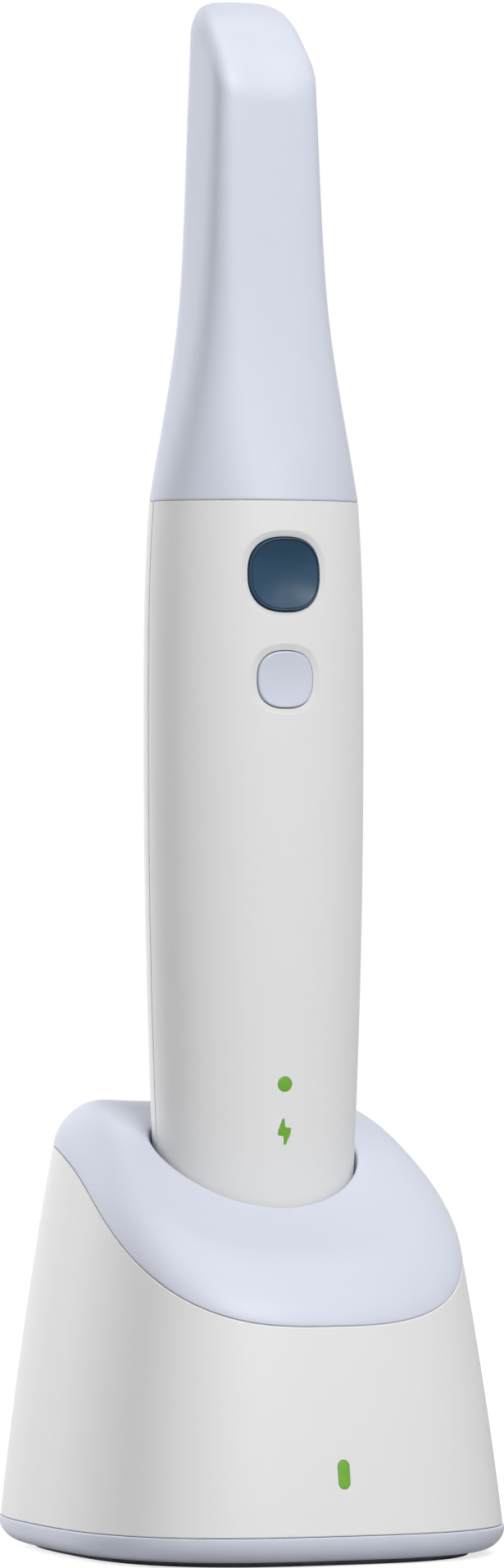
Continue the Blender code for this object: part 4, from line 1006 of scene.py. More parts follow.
@dataclass
class ChargingBase:
    """Rubber foot, foot tray, housing with its status light and power inlet, and the bezel with the well."""

    tray_bottom: float = 0.9 * MM
    tray_top: float = 5.0 * MM
    tray_edge: float = 3.8 * MM
    tray_bulge: float = 0.25 * MM
    foot_inset: float = 4.6 * MM
    foot_recess: float = 1.1 * MM
    foot_edge: float = 0.25 * MM
    foot_channel: tuple[float, float] = (9.0 * MM, 6.4 * MM)
    foot_channel_depth: float = 0.35 * MM
    foot_sole: tuple[float, float] = (6.0 * MM, 3.0 * MM)
    tray_recess_edge: float = 0.2 * MM
    tray_lip_height: float = 3.2 * MM
    tray_lip_wall: float = 1.6 * MM
    tray_floor: float = 1.8 * MM
    tray_shoulder: float = 0.3 * MM
    housing_wall: float = 2.2 * MM
    housing_edge: float = 0.22 * MM
    housing_crisp: float = 0.03 * MM
    seam_groove: float = 0.14 * MM
    tray_groove: float = 0.1 * MM
    bezel_rise: tuple[float, float] = (5.75 * MM, 7.45 * MM)
    bezel_rise_y: tuple[float, float] = (-15.0 * MM, 20.0 * MM)
    bezel_edge: float = 6.0 * MM
    bezel_soft: float = 0.3 * MM
    bezel_dish: float = 1.6 * MM
    bezel_wall: float = 2.0 * MM
    bezel_lip: float = 4.0 * MM
    bezel_lip_wall: float = 1.6 * MM
    well_gap: float = 0.45 * MM
    well_wall: float = 1.8 * MM
    well_rim: float = 0.7 * MM
    well_floor_z: float = 32.3 * MM
    pill_half_width: float = 0.96 * MM
    pill_half_height: float = 2.3 * MM
    pill_z: float = 14.9 * MM
    pill_crown: float = 0.05 * MM
    pill_flange: float = 1.3 * MM
    pill_flange_depth: float = 1.2 * MM
    pill_shoulder: float = 0.12 * MM
    pin_pitch: float = 5.0 * MM
    pin_hole: float = 1.2 * MM
    pin_sink: float = 1.45 * MM
    pin_sink_depth: float = 0.25 * MM
    inlet_half_width: float = 4.5 * MM
    inlet_half_height: float = 1.6 * MM
    inlet_wall: float = 0.35 * MM
    inlet_z: float = 13.0 * MM
    inlet_length: float = 7.4 * MM
    inlet_sink: float = 0.4 * MM
    inlet_chamfer: float = 0.1 * MM
    tongue_half: tuple[float, float] = (3.3 * MM, 0.35 * MM)
    tongue_sink: float = 1.0 * MM
    tongue_slope: float = 0.15 * MM
    strip_pitch: float = 1.15 * MM
    strip_half: tuple[float, float] = (0.3 * MM, 0.05 * MM)
    strip_offset: float = 0.36 * MM
    strip_sink: float = 1.7 * MM
    well_passes: int = 6

    def build(self) -> None:
        """Build and place every piece of the base."""
        self.place("foot_pad", self.foot_mesh(), Palette.rubber, "rubber_foot")
        self.place("foot_tray", self.tray_mesh(), Palette.lavender, "base_tray")
        housing = self.place("housing_shell", self.housing_mesh(), Palette.white, "base_housing")
        carver = Carver(housing)
        carver.cut([self.pill_cutter(), self.inlet_cutter()])
        carver.true_normals(BASE.off)
        bezel = self.place("bezel_top", self.bezel_mesh(), Palette.lavender, "base_bezel")
        pin_holes = [self.pin_cutter(side * self.pin_pitch) for side in (-1, 0, 1)]
        Carver(bezel).cut(pin_holes, 40.0)
        self.place("pill_light", self.pill_mesh(), Palette.green, "base_light_pipe")
        self.build_inlet()

    def place(self, name: str, mesh: bpy.types.Mesh, finish: Finish, node: str) -> bpy.types.Object:
        """Place one piece of the base and report it.

        Args:
            name: Name of the piece.
            mesh: Its mesh.
            finish: Its finish.
            node: CAD node it stands for.

        Returns:
            The piece.
        """
        piece = Workshop.place(name, mesh, finish, Body.BASE, (node,))
        LOG.info("%s: %d faces, stands for %s", name, len(mesh.polygons), node)
        return piece

    def foot_mesh(self) -> bpy.types.Mesh:
        """Rubber foot with a shallow grip channel near its edge.

        Returns:
            The closed mesh.
        """
        skin = Skin("foot_pad")
        outer = self.foot_inset + 2 * GAP
        skin.add([BASE.ring(self.foot_channel_depth, outer + inset) for inset in self.foot_channel])
        skin.add([BASE.ring(0.0, outer + inset) for inset in (*self.foot_sole, self.foot_edge)])
        for angle in quarter(3):
            rise = self.foot_edge * (1.0 - math.cos(angle))
            skin.add([BASE.ring(rise, outer + self.foot_edge * (1.0 - math.sin(angle)))])
        skin.add([BASE.ring(self.tray_bottom, self.foot_inset + GAP)])
        top = self.tray_bottom + self.foot_recess - GAP
        skin.add([BASE.ring(top, self.foot_inset + GAP)])
        return skin.mesh()

    def tray_mesh(self) -> bpy.types.Mesh:
        """Foot tray with a recess for the foot, a bulging rounded edge and a lip inside the housing.

        Returns:
            The closed mesh.
        """
        skin = Skin("foot_tray")
        top = self.tray_bottom + self.foot_recess
        edge = self.tray_recess_edge
        skin.add([BASE.ring(top, self.foot_inset), BASE.ring(self.tray_bottom + edge, self.foot_inset)])
        skin.add([BASE.ring(self.tray_bottom, self.foot_inset - edge)])
        for angle in quarter(14):
            z = self.tray_bottom + self.tray_edge * (1.0 - math.cos(angle))
            skin.add([BASE.ring(z, self.tray_edge * (1.0 - math.sin(angle)) - self.tray_bulge)])
        lip = self.housing_wall + GAP
        for share in (0.35, 0.7, 1.0):
            bulge = self.tray_bulge * (share * share - 1.0)
            skin.add([BASE.ring(self.tray_top - edge * (1.0 - share), bulge)])
        skin.add([BASE.ring(self.tray_top, self.tray_shoulder)])
        lip_top = self.tray_top + self.tray_lip_height
        skin.add([BASE.ring(self.tray_top, lip), BASE.ring(lip_top, lip)])
        skin.add([BASE.ring(z, lip + self.tray_lip_wall) for z in (lip_top, top + self.tray_floor)])
        return skin.mesh()

    def housing_mesh(self) -> bpy.types.Mesh:
        """Tapered housing wall with softened lower and upper edges.

        Returns:
            The closed mesh.
        """
        low = self.tray_top + self.tray_groove
        edge = self.housing_edge

        def wall(share: float, inset: float, drop: float = 0.0) -> Ring:
            """Ring at a share of the way from the tray to the seam.

            Args:
                share: Share of the way up, from 0 to 1.
                inset: Distance moved inwards.
                drop: Depth of the upper end below the seam.

            Returns:
                The ring.
            """
            points = []
            for turn in BASE.turns:
                top = BASE.seam_point(turn, -self.seam_groove / 2 - drop, inset).z
                points.append(BASE.point(turn, low + (top - low) * share, inset))
            return points

        skin = Skin("housing_shell")
        for angle in reversed(quarter(4)):
            skin.add([BASE.ring(low + edge * (1.0 - math.sin(angle)), edge * (1.0 - math.cos(angle)))])
        crisp = self.housing_crisp
        skin.add([wall(share, 0.0, crisp) for share in spread(0.0, 1.0, 40)[1:]])
        for angle in quarter(2)[1:]:
            skin.add([wall(1.0, crisp * (1.0 - math.cos(angle)), crisp * (1.0 - math.sin(angle)))])
        skin.add([wall(share, self.housing_wall) for share in spread(1.0, 0.0, 5)])
        return skin.mesh(tube=True)

    def on_front(self, outline: Outline, sink: Callable[[float, float], float]) -> Ring:
        """Lay an outline on the front wall round the status light.

        Args:
            outline: Pairs of x and height from the light's centre.
            sink: Depth below the wall at a place.

        Returns:
            The ring in the shared frame.
        """
        points = []
        for x, z in outline:
            height = self.pill_z + z
            half_width, half_depth = BASE.halves(height, False)
            y = -half_depth * (1.0 - (abs(x) / half_width) ** BASE.power) ** (1.0 / BASE.power)
            points.append(Vector((x, y + sink(x, z), height)))
        return points

    def pill_cutter(self) -> bpy.types.Mesh:
        """Slot for the status light with a small rounded rim.

        Returns:
            The closed mesh.
        """
        skin = Skin("pill_slot")
        for grow, sink in ((0.05, 3.4), (0.05, 0.14), (0.07, 0.05), (0.12, 0.0), (0.12, -1.0)):
            outline = self.pill_outline(grow * MM)
            skin.add([self.on_front(outline, lambda x, z, sink=sink: sink * MM)])
        return skin.mesh()

    def pill_outline(self, grow: float) -> Outline:
        """Upright slot outline of the status light, grown by a margin."""
        return slot_outline(self.pill_half_height + grow, self.pill_half_width + grow, 20, standing=True)

    def pill_mesh(self) -> bpy.types.Mesh:
        """Status light: crowned pill with a flange behind the wall.

        Returns:
            The closed mesh.
        """
        skin = Skin("pill_light")
        behind = self.housing_wall + GAP
        back, flange = behind + self.pill_flange_depth, self.pill_flange
        for grow, sink in ((flange, back), (flange, behind), (0.0, behind), (0.0, self.pill_shoulder)):
            skin.add([self.on_front(self.pill_outline(grow), lambda x, z, sink=sink: sink)])
        for share in (0.0, 0.3, 0.6, 0.85):
            narrow = self.pill_outline(-self.pill_half_width * share)
            sink = self.pill_crown * (1.0 - math.sqrt(1.0 - (1.0 - share) ** 2))
            skin.add([self.on_front(narrow, lambda x, z, sink=sink: sink)])
        return skin.mesh()

    def pin_cutter(self, x: float) -> bpy.types.Mesh:
        """Hole through the well's floor for one charging pin, with a countersunk edge.

        Args:
            x: The pin's distance from the centre line.

        Returns:
            The closed mesh.
        """
        skin = Skin("pin_hole")
        floor = self.well_floor_z
        low, high = floor - 4 * MM, floor + MM
        hole, sink = self.pin_hole, self.pin_sink
        turns = even_turns(2.0, 40)
        for radius, z in ((hole, low), (hole, floor - self.pin_sink_depth), (sink, floor), (sink, high)):
            spots = [(x + radius * math.cos(t), HANDLE.foot_y + radius * math.sin(t), z) for t in turns]
            skin.add([[Vector(spot) for spot in spots]])
        return skin.mesh()

    def inlet_cutter(self) -> bpy.types.Mesh:
        """Slot through the rear wall for the power inlet, with a rounded mouth.

        Returns:
            The closed mesh.
        """
        skin = Skin("inlet_slot")
        rear = BASE.rear_y(self.inlet_z)
        for grow, sink in ((0.3, -4.0), (0.3, -0.5), (0.34, -0.25), (0.45, -0.08), (0.62, 0.0), (0.62, 2.0)):
            outline = slot_outline(self.inlet_half_width + grow * MM, self.inlet_half_height + grow * MM)
            skin.add([upright(outline, rear + sink * MM, self.inlet_z)])
        return skin.mesh()

    def build_inlet(self) -> None:
        """Place the power socket's shell, and its tongue with contact strips."""
        mouth = BASE.rear_y(self.inlet_z) - self.inlet_sink
        outer = slot_outline(self.inlet_half_width, self.inlet_half_height)
        chamfer, wall = self.inlet_chamfer, self.inlet_wall
        rim = slot_outline(self.inlet_half_width - chamfer, self.inlet_half_height - chamfer)
        inner = slot_outline(self.inlet_half_width - wall, self.inlet_half_height - wall)
        floor = mouth - self.inlet_length + MM
        skin = Skin("inlet_shell")
        skin.add([upright(outer, y, self.inlet_z) for y in (mouth - self.inlet_length, mouth - chamfer)])
        skin.add([upright(rim, mouth, self.inlet_z), upright(inner, mouth - chamfer, self.inlet_z)])
        skin.add([upright(inner, floor, self.inlet_z)])
        self.place("inlet_shell", skin.mesh(), Palette.inlet, "power_inlet")
        self.build_tongue(floor, mouth)

    def build_tongue(self, floor: float, mouth: float) -> None:
        """Place the tongue inside the socket with five contact strips on each side.

        Args:
            floor: Depth of the socket's floor.
            mouth: Depth of the socket's mouth.
        """
        tongue = Skin("inlet_tongue")
        half_width, half_height = self.tongue_half
        tip = mouth - self.tongue_sink
        for y, slim in ((floor - 0.2 * MM, 0.0), (tip - 0.4 * MM, 0.0), (tip, self.tongue_slope)):
            tongue.add([upright(squircle(half_width - slim, half_height - slim, 8.0, 48), y, self.inlet_z)])
        Workshop.place("inlet_tongue", tongue.mesh(), Palette.black, Body.BASE)
        for side in (-1, 1):
            for i in range(5):
                x = (i - 2) * self.strip_pitch
                strip = Skin(f"inlet_strip_{side}_{i}")
                z = self.inlet_z + side * self.strip_offset
                shifted = [(x + across, up) for across, up in squircle(*self.strip_half, 6.0, 16)]
                strip.add([upright(shifted, y, z) for y in (floor, mouth - self.strip_sink)])
                name = f"inlet_strip_{'lower' if side < 0 else 'upper'}_{i + 1}"
                Workshop.place(name, strip.mesh(), Palette.gold, Body.BASE)
        LOG.info("inlet_tongue: with ten contact strips")

    def rise(self, y: float) -> float:
        """Height of the bezel above the seam: low in front and high at the rear.

        Args:
            y: Depth at which it is wanted.

        Returns:
            The height above the seam.
        """
        near, far = self.bezel_rise_y
        share = min(max((y - near) / (far - near), 0.0), 1.0)
        low, high = self.bezel_rise
        return low + (high - low) * share * share * (3.0 - 2.0 * share)

    def edge_ring(self, part: float, inset: float, drop: float = 0.0) -> Ring:
        """Ring on the bezel's edge.

        Args:
            part: Part of the way from the seam up to the top surface.
            inset: Distance inside the outer form.
            drop: Depth below that height.

        Returns:
            The ring.
        """
        start = self.seam_groove / 2 + self.bezel_soft
        points = []
        for turn in BASE.turns:
            full = self.rise(BASE.seam_point(turn, 0.0, inset).y)
            points.append(BASE.seam_point(turn, start + (full - start) * part - drop, inset))
        return points

    def bezel_surface(self, turn: float, y: float, share: float) -> float:
        """Height of the bezel's dished top surface between the well and the edge."""
        dish = self.bezel_dish * math.sin(turn) ** 2 * (1.0 - share)
        return BASE.seam_height(y) + self.rise(y) - dish

    def well_ring(self, margin: float, level: Callable[[float, float], float]) -> Ring:
        """Ring of the well.

        Args:
            margin: Distance outside the well's wall.
            level: Height at a turn and depth.

        Returns:
            The ring.
        """
        points = []
        for turn in BASE.turns:
            z = BASE.seam_z
            for _ in range(self.well_passes):
                half_width, half_depth = HANDLE.halves(max(z - HANDLE.foot_z, 0.0))
                y = HANDLE.foot_y + (half_depth + self.well_gap + margin) * math.sin(turn)
                z = level(turn, y)
            points.append(Vector(((half_width + self.well_gap + margin) * math.cos(turn), y, z)))
        return points

    def blended_ring(self, inner: Ring, outer: Ring, share: float, drop: float = 0.0) -> Ring:
        """Ring on the bezel's top between two rings, lowered by some depth.

        Args:
            inner: Ring at the well.
            outer: Ring at the edge.
            share: Share of the way from inner to outer.
            drop: Depth below the top surface.

        Returns:
            The ring.
        """
        points = []
        for turn, low, high in zip(BASE.turns, inner, outer):
            spot = low.lerp(high, share)
            points.append(Vector((spot.x, spot.y, self.bezel_surface(turn, spot.y, share) - drop)))
        return points

    def bezel_mesh(self) -> bpy.types.Mesh:
        """Bezel: well, rounded rim, dished top, rounded edge and the lip that enters the housing.

        Returns:
            The closed mesh.
        """
        rim = self.well_rim

        def lowered(depth: float) -> Callable[[float, float], float]:
            """Height function at some depth below the top surface at the well."""
            return lambda turn, y: self.bezel_surface(turn, y, 0.0) - depth

        skin = Skin("bezel_top")
        lowest = min(point.z for point in self.well_ring(0.0, lowered(rim))) - 2 * MM
        for z in spread(self.well_floor_z, lowest, 8):
            skin.add([self.well_ring(0.0, lambda turn, y, z=z: z)])
        for angle in quarter(6):
            fall = lowered(rim * (1.0 - math.sin(angle)))
            skin.add([self.well_ring(rim * (1.0 - math.cos(angle)), fall)])
        rim_ring = skin.rings[-1]
        groove, soft = self.seam_groove / 2, self.bezel_soft
        edge = []
        for angle in quarter(18):
            edge.append(self.edge_ring(math.sin(angle), self.bezel_edge * (1.0 - math.cos(angle))))
        skin.add([self.blended_ring(rim_ring, edge[-1], share) for share in spread(0.0, 1.0, 16)[1:-1]])
        skin.add(reversed(edge))
        for angle in quarter(4)[1:]:
            height = groove + soft * (1.0 - math.sin(angle))
            skin.add([BASE.seam_ring(height, soft * (1.0 - math.cos(angle)))])
        lip = self.housing_wall + GAP
        inside = lip + self.bezel_lip_wall
        skin.add([BASE.seam_ring(groove, lip), BASE.seam_ring(-self.bezel_lip, lip)])
        skin.add([BASE.seam_ring(-self.bezel_lip, inside)])
        skin.add([self.edge_ring(0.5, inside, self.bezel_wall)])
        under = self.edge_ring(1.0, max(inside, self.bezel_edge), self.bezel_wall)
        outer_well = self.well_ring(self.well_wall, lowered(self.bezel_wall))
        skin.add([under, self.blended_ring(outer_well, under, 0.5, self.bezel_wall), outer_well])
        lowest = min(point.z for point in outer_well) - 2 * MM
        for z in spread(lowest, self.well_floor_z - self.well_wall, 3):
            skin.add([self.well_ring(self.well_wall, lambda turn, y, z=z: z)])
        return skin.mesh()


@dataclass
class HandleCasing:
    """The handle's two long shells with their button recesses, and the two lights near its foot."""

    wall: float = 1.8 * MM
    parting: float = 0.3 * MM
    low_level: float = 6.3 * MM
    high_level: float = 139.97 * MM
    edge: float = 0.1 * MM
    arc_points: int = 120
    softening: tuple[tuple[float, float], ...] = (
        (0.0, 0.10 * MM),
        (0.03 * MM, 0.03 * MM),
        (0.10 * MM, 0.0),
    )
    softening_clear: float = 0.02
    fine_from: float = 102.0 * MM
    dot_level: float = 44.5 * MM
    dot_radius: float = 1.2 * MM
    dot_collar: float = 2.16 * MM
    dot_length: float = 1.6 * MM
    dot_crown: float = 0.06 * MM
    dot_shoulder: float = 0.08 * MM
    sign_level: float = 36.7 * MM
    sign_size: tuple[float, float] = (2.2 * MM, 4.2 * MM)
    sign_radius: float = 0.12 * MM
    sign_corners: tuple[tuple[float, float], ...] = (
        (0.09, -0.50),
        (0.46, -0.06),
        (0.50, 0.13),
        (0.02, 0.16),
        (-0.04, 0.50),
        (-0.15, 0.50),
        (-0.46, 0.06),
        (-0.50, -0.12),
        (-0.04, -0.16),
        (-0.02, -0.50),
    )

    def build(self, buttons: Sequence["PushButton"]) -> None:
        """Build and place both shells and the lights.

        Args:
            buttons: The buttons that need a recess in the front shell.
        """
        rear_mesh = self.shell_mesh("handle_rear", 1)
        rear = Workshop.place("handle_rear", rear_mesh, Palette.white, Body.BASE, ("rear_shell",))
        Carver(rear).true_normals(HANDLE.off)
        front_mesh = self.shell_mesh("handle_front", -1)
        front = Workshop.place("handle_front", front_mesh, Palette.white, Body.BASE, ("front_shell",))
        carver = Carver(front)
        cutters = [button.recess_cutter() for button in buttons]
        carver.cut([*cutters, self.dot_cutter(), self.sign_cutter()])
        carver.true_normals(HANDLE.off)
        for shell in (front, rear):
            LOG.info("%s: %d faces", shell.name, len(shell.data.polygons))
        Workshop.place("status_dot", self.dot_mesh(), Palette.green, Body.BASE, ("status_light_pipe",))
        Workshop.place("charge_sign", self.sign_mesh(), Palette.green, Body.BASE, ("charge_light_pipe",))
        LOG.info("status_dot and charge_sign: light guides near the handle's foot")

    def shell_levels(self) -> list[tuple[float, float]]:
        """Levels and edge insets of the shell's rings, finer where the buttons are.

        Returns:
            Pairs of a level and an inset, from the foot up.
        """
        rows = []
        for angle in reversed(quarter(3)[1:]):
            level = self.low_level + self.edge * (1.0 - math.sin(angle))
            rows.append((level, self.edge * (1.0 - math.cos(angle))))
        rows += [(level, 0.0) for level in spread(self.low_level + self.edge, self.fine_from, 74)]
        rows += [(level, 0.0) for level in spread(self.fine_from, self.high_level - self.edge, 84)[1:]]
        for angle in quarter(3)[1:]:
            level = self.high_level - self.edge * (1.0 - math.sin(angle))
            rows.append((level, self.edge * (1.0 - math.cos(angle))))
        return rows

    def shell_mesh(self, name: str, side: int) -> bpy.types.Mesh:
        """One long half of the casing.

        Args:
            name: Name of the mesh.
            side: -1 for the front and 1 for the rear.

        Returns:
            The shell's mesh.
        """
        skin = Skin(name)
        for level, inset in self.shell_levels():
            skin.add([self.half_ring(level, side, inset)])
        return skin.mesh(crease=28.0)

    def half_ring(self, level: float, side: int, inset: float) -> Ring:
        """C-shaped section of a shell, with softened corners at the parting plane.

        Args:
            level: Level above the handle's foot.
            side: -1 for the front and 1 for the rear.
            inset: Inset of the outer arc.

        Returns:
            The ring.
        """
        points = []
        for depth, order in ((inset, 1), (self.wall, -1)):
            half_depth = HANDLE.halves(level)[1] - depth
            start = math.asin(self.parting / 2 / half_depth)
            arc = []
            if order == 1:
                steps = [(start + along / half_depth, sink) for along, sink in self.softening]
                first = steps[-1][0] + self.softening_clear
                turns = spread(first, math.pi - first, self.arc_points - 2 * len(steps))
                mirrored = [(math.pi - turn, sink) for turn, sink in reversed(steps)]
                rows = [*steps, *[(turn, 0.0) for turn in turns], *mirrored]
            else:
                rows = [(turn, 0.0) for turn in spread(start, math.pi - start, self.arc_points // 3)]
            for turn, sink in rows:
                arc.append(HANDLE.point(side * turn, level, depth + sink))
            points += arc[::order]
        return points

    def on_front(self, outline: Outline, level: float, sink: float) -> Ring:
        """Lay an outline on the handle's front at a level, sunk by some depth."""
        return upright(outline, lambda x, z: HANDLE.front(x, z) + sink, HANDLE.foot_z + level)

    def dot_cutter(self) -> bpy.types.Mesh:
        """Round hole for the status light with a softened rim.

        Returns:
            The closed mesh.
        """
        skin = Skin("dot_hole")
        for grow, sink in ((0.05, 3.0), (0.05, 0.12), (0.07, 0.04), (0.11, 0.0), (0.11, -1.0)):
            radius = self.dot_radius + grow * MM
            skin.add([self.on_front(squircle(radius, radius, 2.0, 48), self.dot_level, sink * MM)])
        return skin.mesh()

    def dot_mesh(self) -> bpy.types.Mesh:
        """Crowned round end of the status light guide, with its collar behind the wall.

        Returns:
            The closed mesh.
        """
        skin = Skin("status_dot")
        back = self.wall + 0.6 * MM
        end = back + self.dot_length
        collar, radius = self.dot_collar, self.dot_radius
        for reach, sink in ((collar, end), (collar, back), (radius, back), (radius, self.dot_shoulder)):
            skin.add([self.on_front(squircle(reach, reach, 2.0, 48), self.dot_level, sink)])
        for angle in quarter(5)[1:-1]:
            radius = self.dot_radius * math.cos(angle)
            ring = squircle(radius, radius, 2.0, 48)
            skin.add([self.on_front(ring, self.dot_level, self.dot_crown * (1.0 - math.sin(angle)))])
        skin.add([self.on_front([(0.0, 0.0)], self.dot_level, 0.0)])
        return skin.mesh()

    def sign_outline(self, grow: float) -> Outline:
        """Outline of the charge sign with softened corners, grown by a margin on each side.

        Args:
            grow: Margin on each side.

        Returns:
            Pairs along the outline.
        """
        width, height = self.sign_size
        corners = [(x * width, z * height) for x, z in self.sign_corners]
        return rounded_outline(grown_corners(corners, grow), self.sign_radius)

    def sign_cutter(self) -> bpy.types.Mesh:
        """Opening for the charge sign.

        Returns:
            The closed mesh.
        """
        skin = Skin("sign_hole")
        for grow, sink in ((0.04, 3.0), (0.04, 0.08), (0.08, 0.0), (0.08, -1.0)):
            skin.add([self.on_front(self.sign_outline(grow * MM), self.sign_level, sink * MM)])
        return skin.mesh()

    def sign_mesh(self) -> bpy.types.Mesh:
        """Light guide of the charge sign.

        Returns:
            The closed mesh.
        """
        skin = Skin("charge_sign")
        for grow, sink in ((0.0, 3.2), (0.0, 0.04), (-0.02, 0.01)):
            skin.add([self.on_front(self.sign_outline(grow * MM), self.sign_level, sink * MM)])
        return skin.mesh()


@dataclass
class PushButton:
    """A dished push button in a shallow recess of the front shell."""

    name: str
    node: str
    body: Body
    finish: Finish
    level: float
    half_width: float
    half_height: float
    dish: float
    rim_sink: float
    rim_radius: float
    ridged: bool
    power: float = 2.5
    clearance: float = 0.16 * MM
    recess_border: float = 1.1 * MM
    recess_depth: float = 0.28 * MM
    flange: float = 1.25 * MM
    flange_thickness: float = 0.8 * MM
    stem_radius: float = 1.5 * MM
    stem_end_y: float = -11.3 * MM

    def outline(self, grow: float) -> Outline:
        """Outline of the button, grown by a margin."""
        return squircle(self.half_width + grow, self.half_height + grow, self.power)

    def surface(self, outline: Outline, sink: Callable[[float, float], float]) -> Ring:
        """Lay an outline on the handle's front, sunk by a depth that depends on the place."""
        z0 = HANDLE.foot_z + self.level
        return upright(outline, lambda x, z: HANDLE.front(x, z) + sink(x, z - z0), z0)

    def recess_cutter(self) -> bpy.types.Mesh:
        """Hole for the button with a flared recess that runs out softly into the wall.

        Returns:
            The closed mesh, with a darker white for the recess faces that paints shade into the recess.
        """
        skin = Skin(f"{self.name}_recess")
        skin.add([self.surface(self.outline(self.clearance), lambda x, z: 3.4 * MM)])
        inner = self.recess_depth
        skin.add([self.surface(self.outline(self.clearance), lambda x, z: inner + 0.12 * MM)])
        skin.add([self.surface(self.outline(self.clearance + 0.04 * MM), lambda x, z: inner + 0.03 * MM)])
        for share in spread(0.0, 1.0, 9):
            grow = self.clearance + 0.12 * MM + (self.recess_border - 0.12 * MM) * share
            depth = inner * (1.0 - share) - 0.004 * MM * share
            skin.add([self.surface(self.outline(grow), lambda x, z, depth=depth: depth)])
        skin.add([self.surface(self.outline(self.clearance + self.recess_border), lambda x, z: -1.5 * MM)])
        mesh = skin.mesh()
        # The recess faces keep this darker white: painted shade.
        mesh.materials.append(Palette.ring.material())
        return mesh

    def mesh(self) -> bpy.types.Mesh:
        """Button: stem, flange, skirt, rounded rim and dished face.

        Returns:
            The closed mesh.
        """
        z0 = HANDLE.foot_z + self.level
        skin = Skin(self.name)
        reach = self.outline(self.clearance + self.flange)
        flange_front = max(HANDLE.front(x, z0 + z, 1.8 * MM) for x, z in reach) + GAP
        flange_back = flange_front + self.flange_thickness
        stem_end = max(self.stem_end_y, flange_back + 0.05 * MM)
        stem = squircle(self.stem_radius, self.stem_radius, 2.0)
        skin.add([upright(stem, y, z0) for y in (stem_end, flange_back)])
        skin.add([upright(reach, y, z0) for y in (flange_back, flange_front)])
        skin.add([upright(self.outline(0.0), flange_front, z0)])
        steps = self.rim()
        for grow, sink in steps:
            skin.add([self.surface(self.outline(grow), lambda x, z, sink=sink: sink)])
        narrow, start = steps[-1]
        width, height = self.half_width + narrow, self.half_height + narrow
        for share in spread(1.0, 0.0, 22)[1:]:
            outline = [(0.0, 0.0)]
            if share > 0.0:
                power = self.power - (self.power - 2.0) * (1.0 - share)
                outline = squircle(width * share, height * share, power)
            sink = start + self.dish * (1.0 - share * share)
            skin.add([self.surface(outline, lambda x, z, sink=sink: sink)])
        return skin.mesh()

    def rim(self) -> list[tuple[float, float]]:
        """Growth of the outline and sink at each step from the skirt to the dish's edge.

        Returns:
            Pairs of growth and sink.
        """
        radius, top = self.rim_radius, self.rim_sink
        steps = [(-radius * (1.0 - math.cos(a)), top + radius * (1.0 - math.sin(a))) for a in quarter(6)]
        if not self.ridged:
            return steps
        steps += [(-radius * (1.0 + math.sin(a)), top + radius * (1.0 - math.cos(a))) for a in quarter(5)[1:]]
        groove = top + 1.5 * radius
        for inward, sink in ((0.02, groove), (0.09, groove), (0.12, top + 0.7 * radius)):
            steps.append((-2.0 * radius - inward * MM, sink))
        return steps

    def build(self) -> None:
        """Place the button on its own body."""
        piece = Workshop.place(self.name, self.mesh(), self.finish, self.body, (self.node,))
        LOG.info("%s: %d faces on %s", self.name, len(piece.data.polygons), self.body.value)


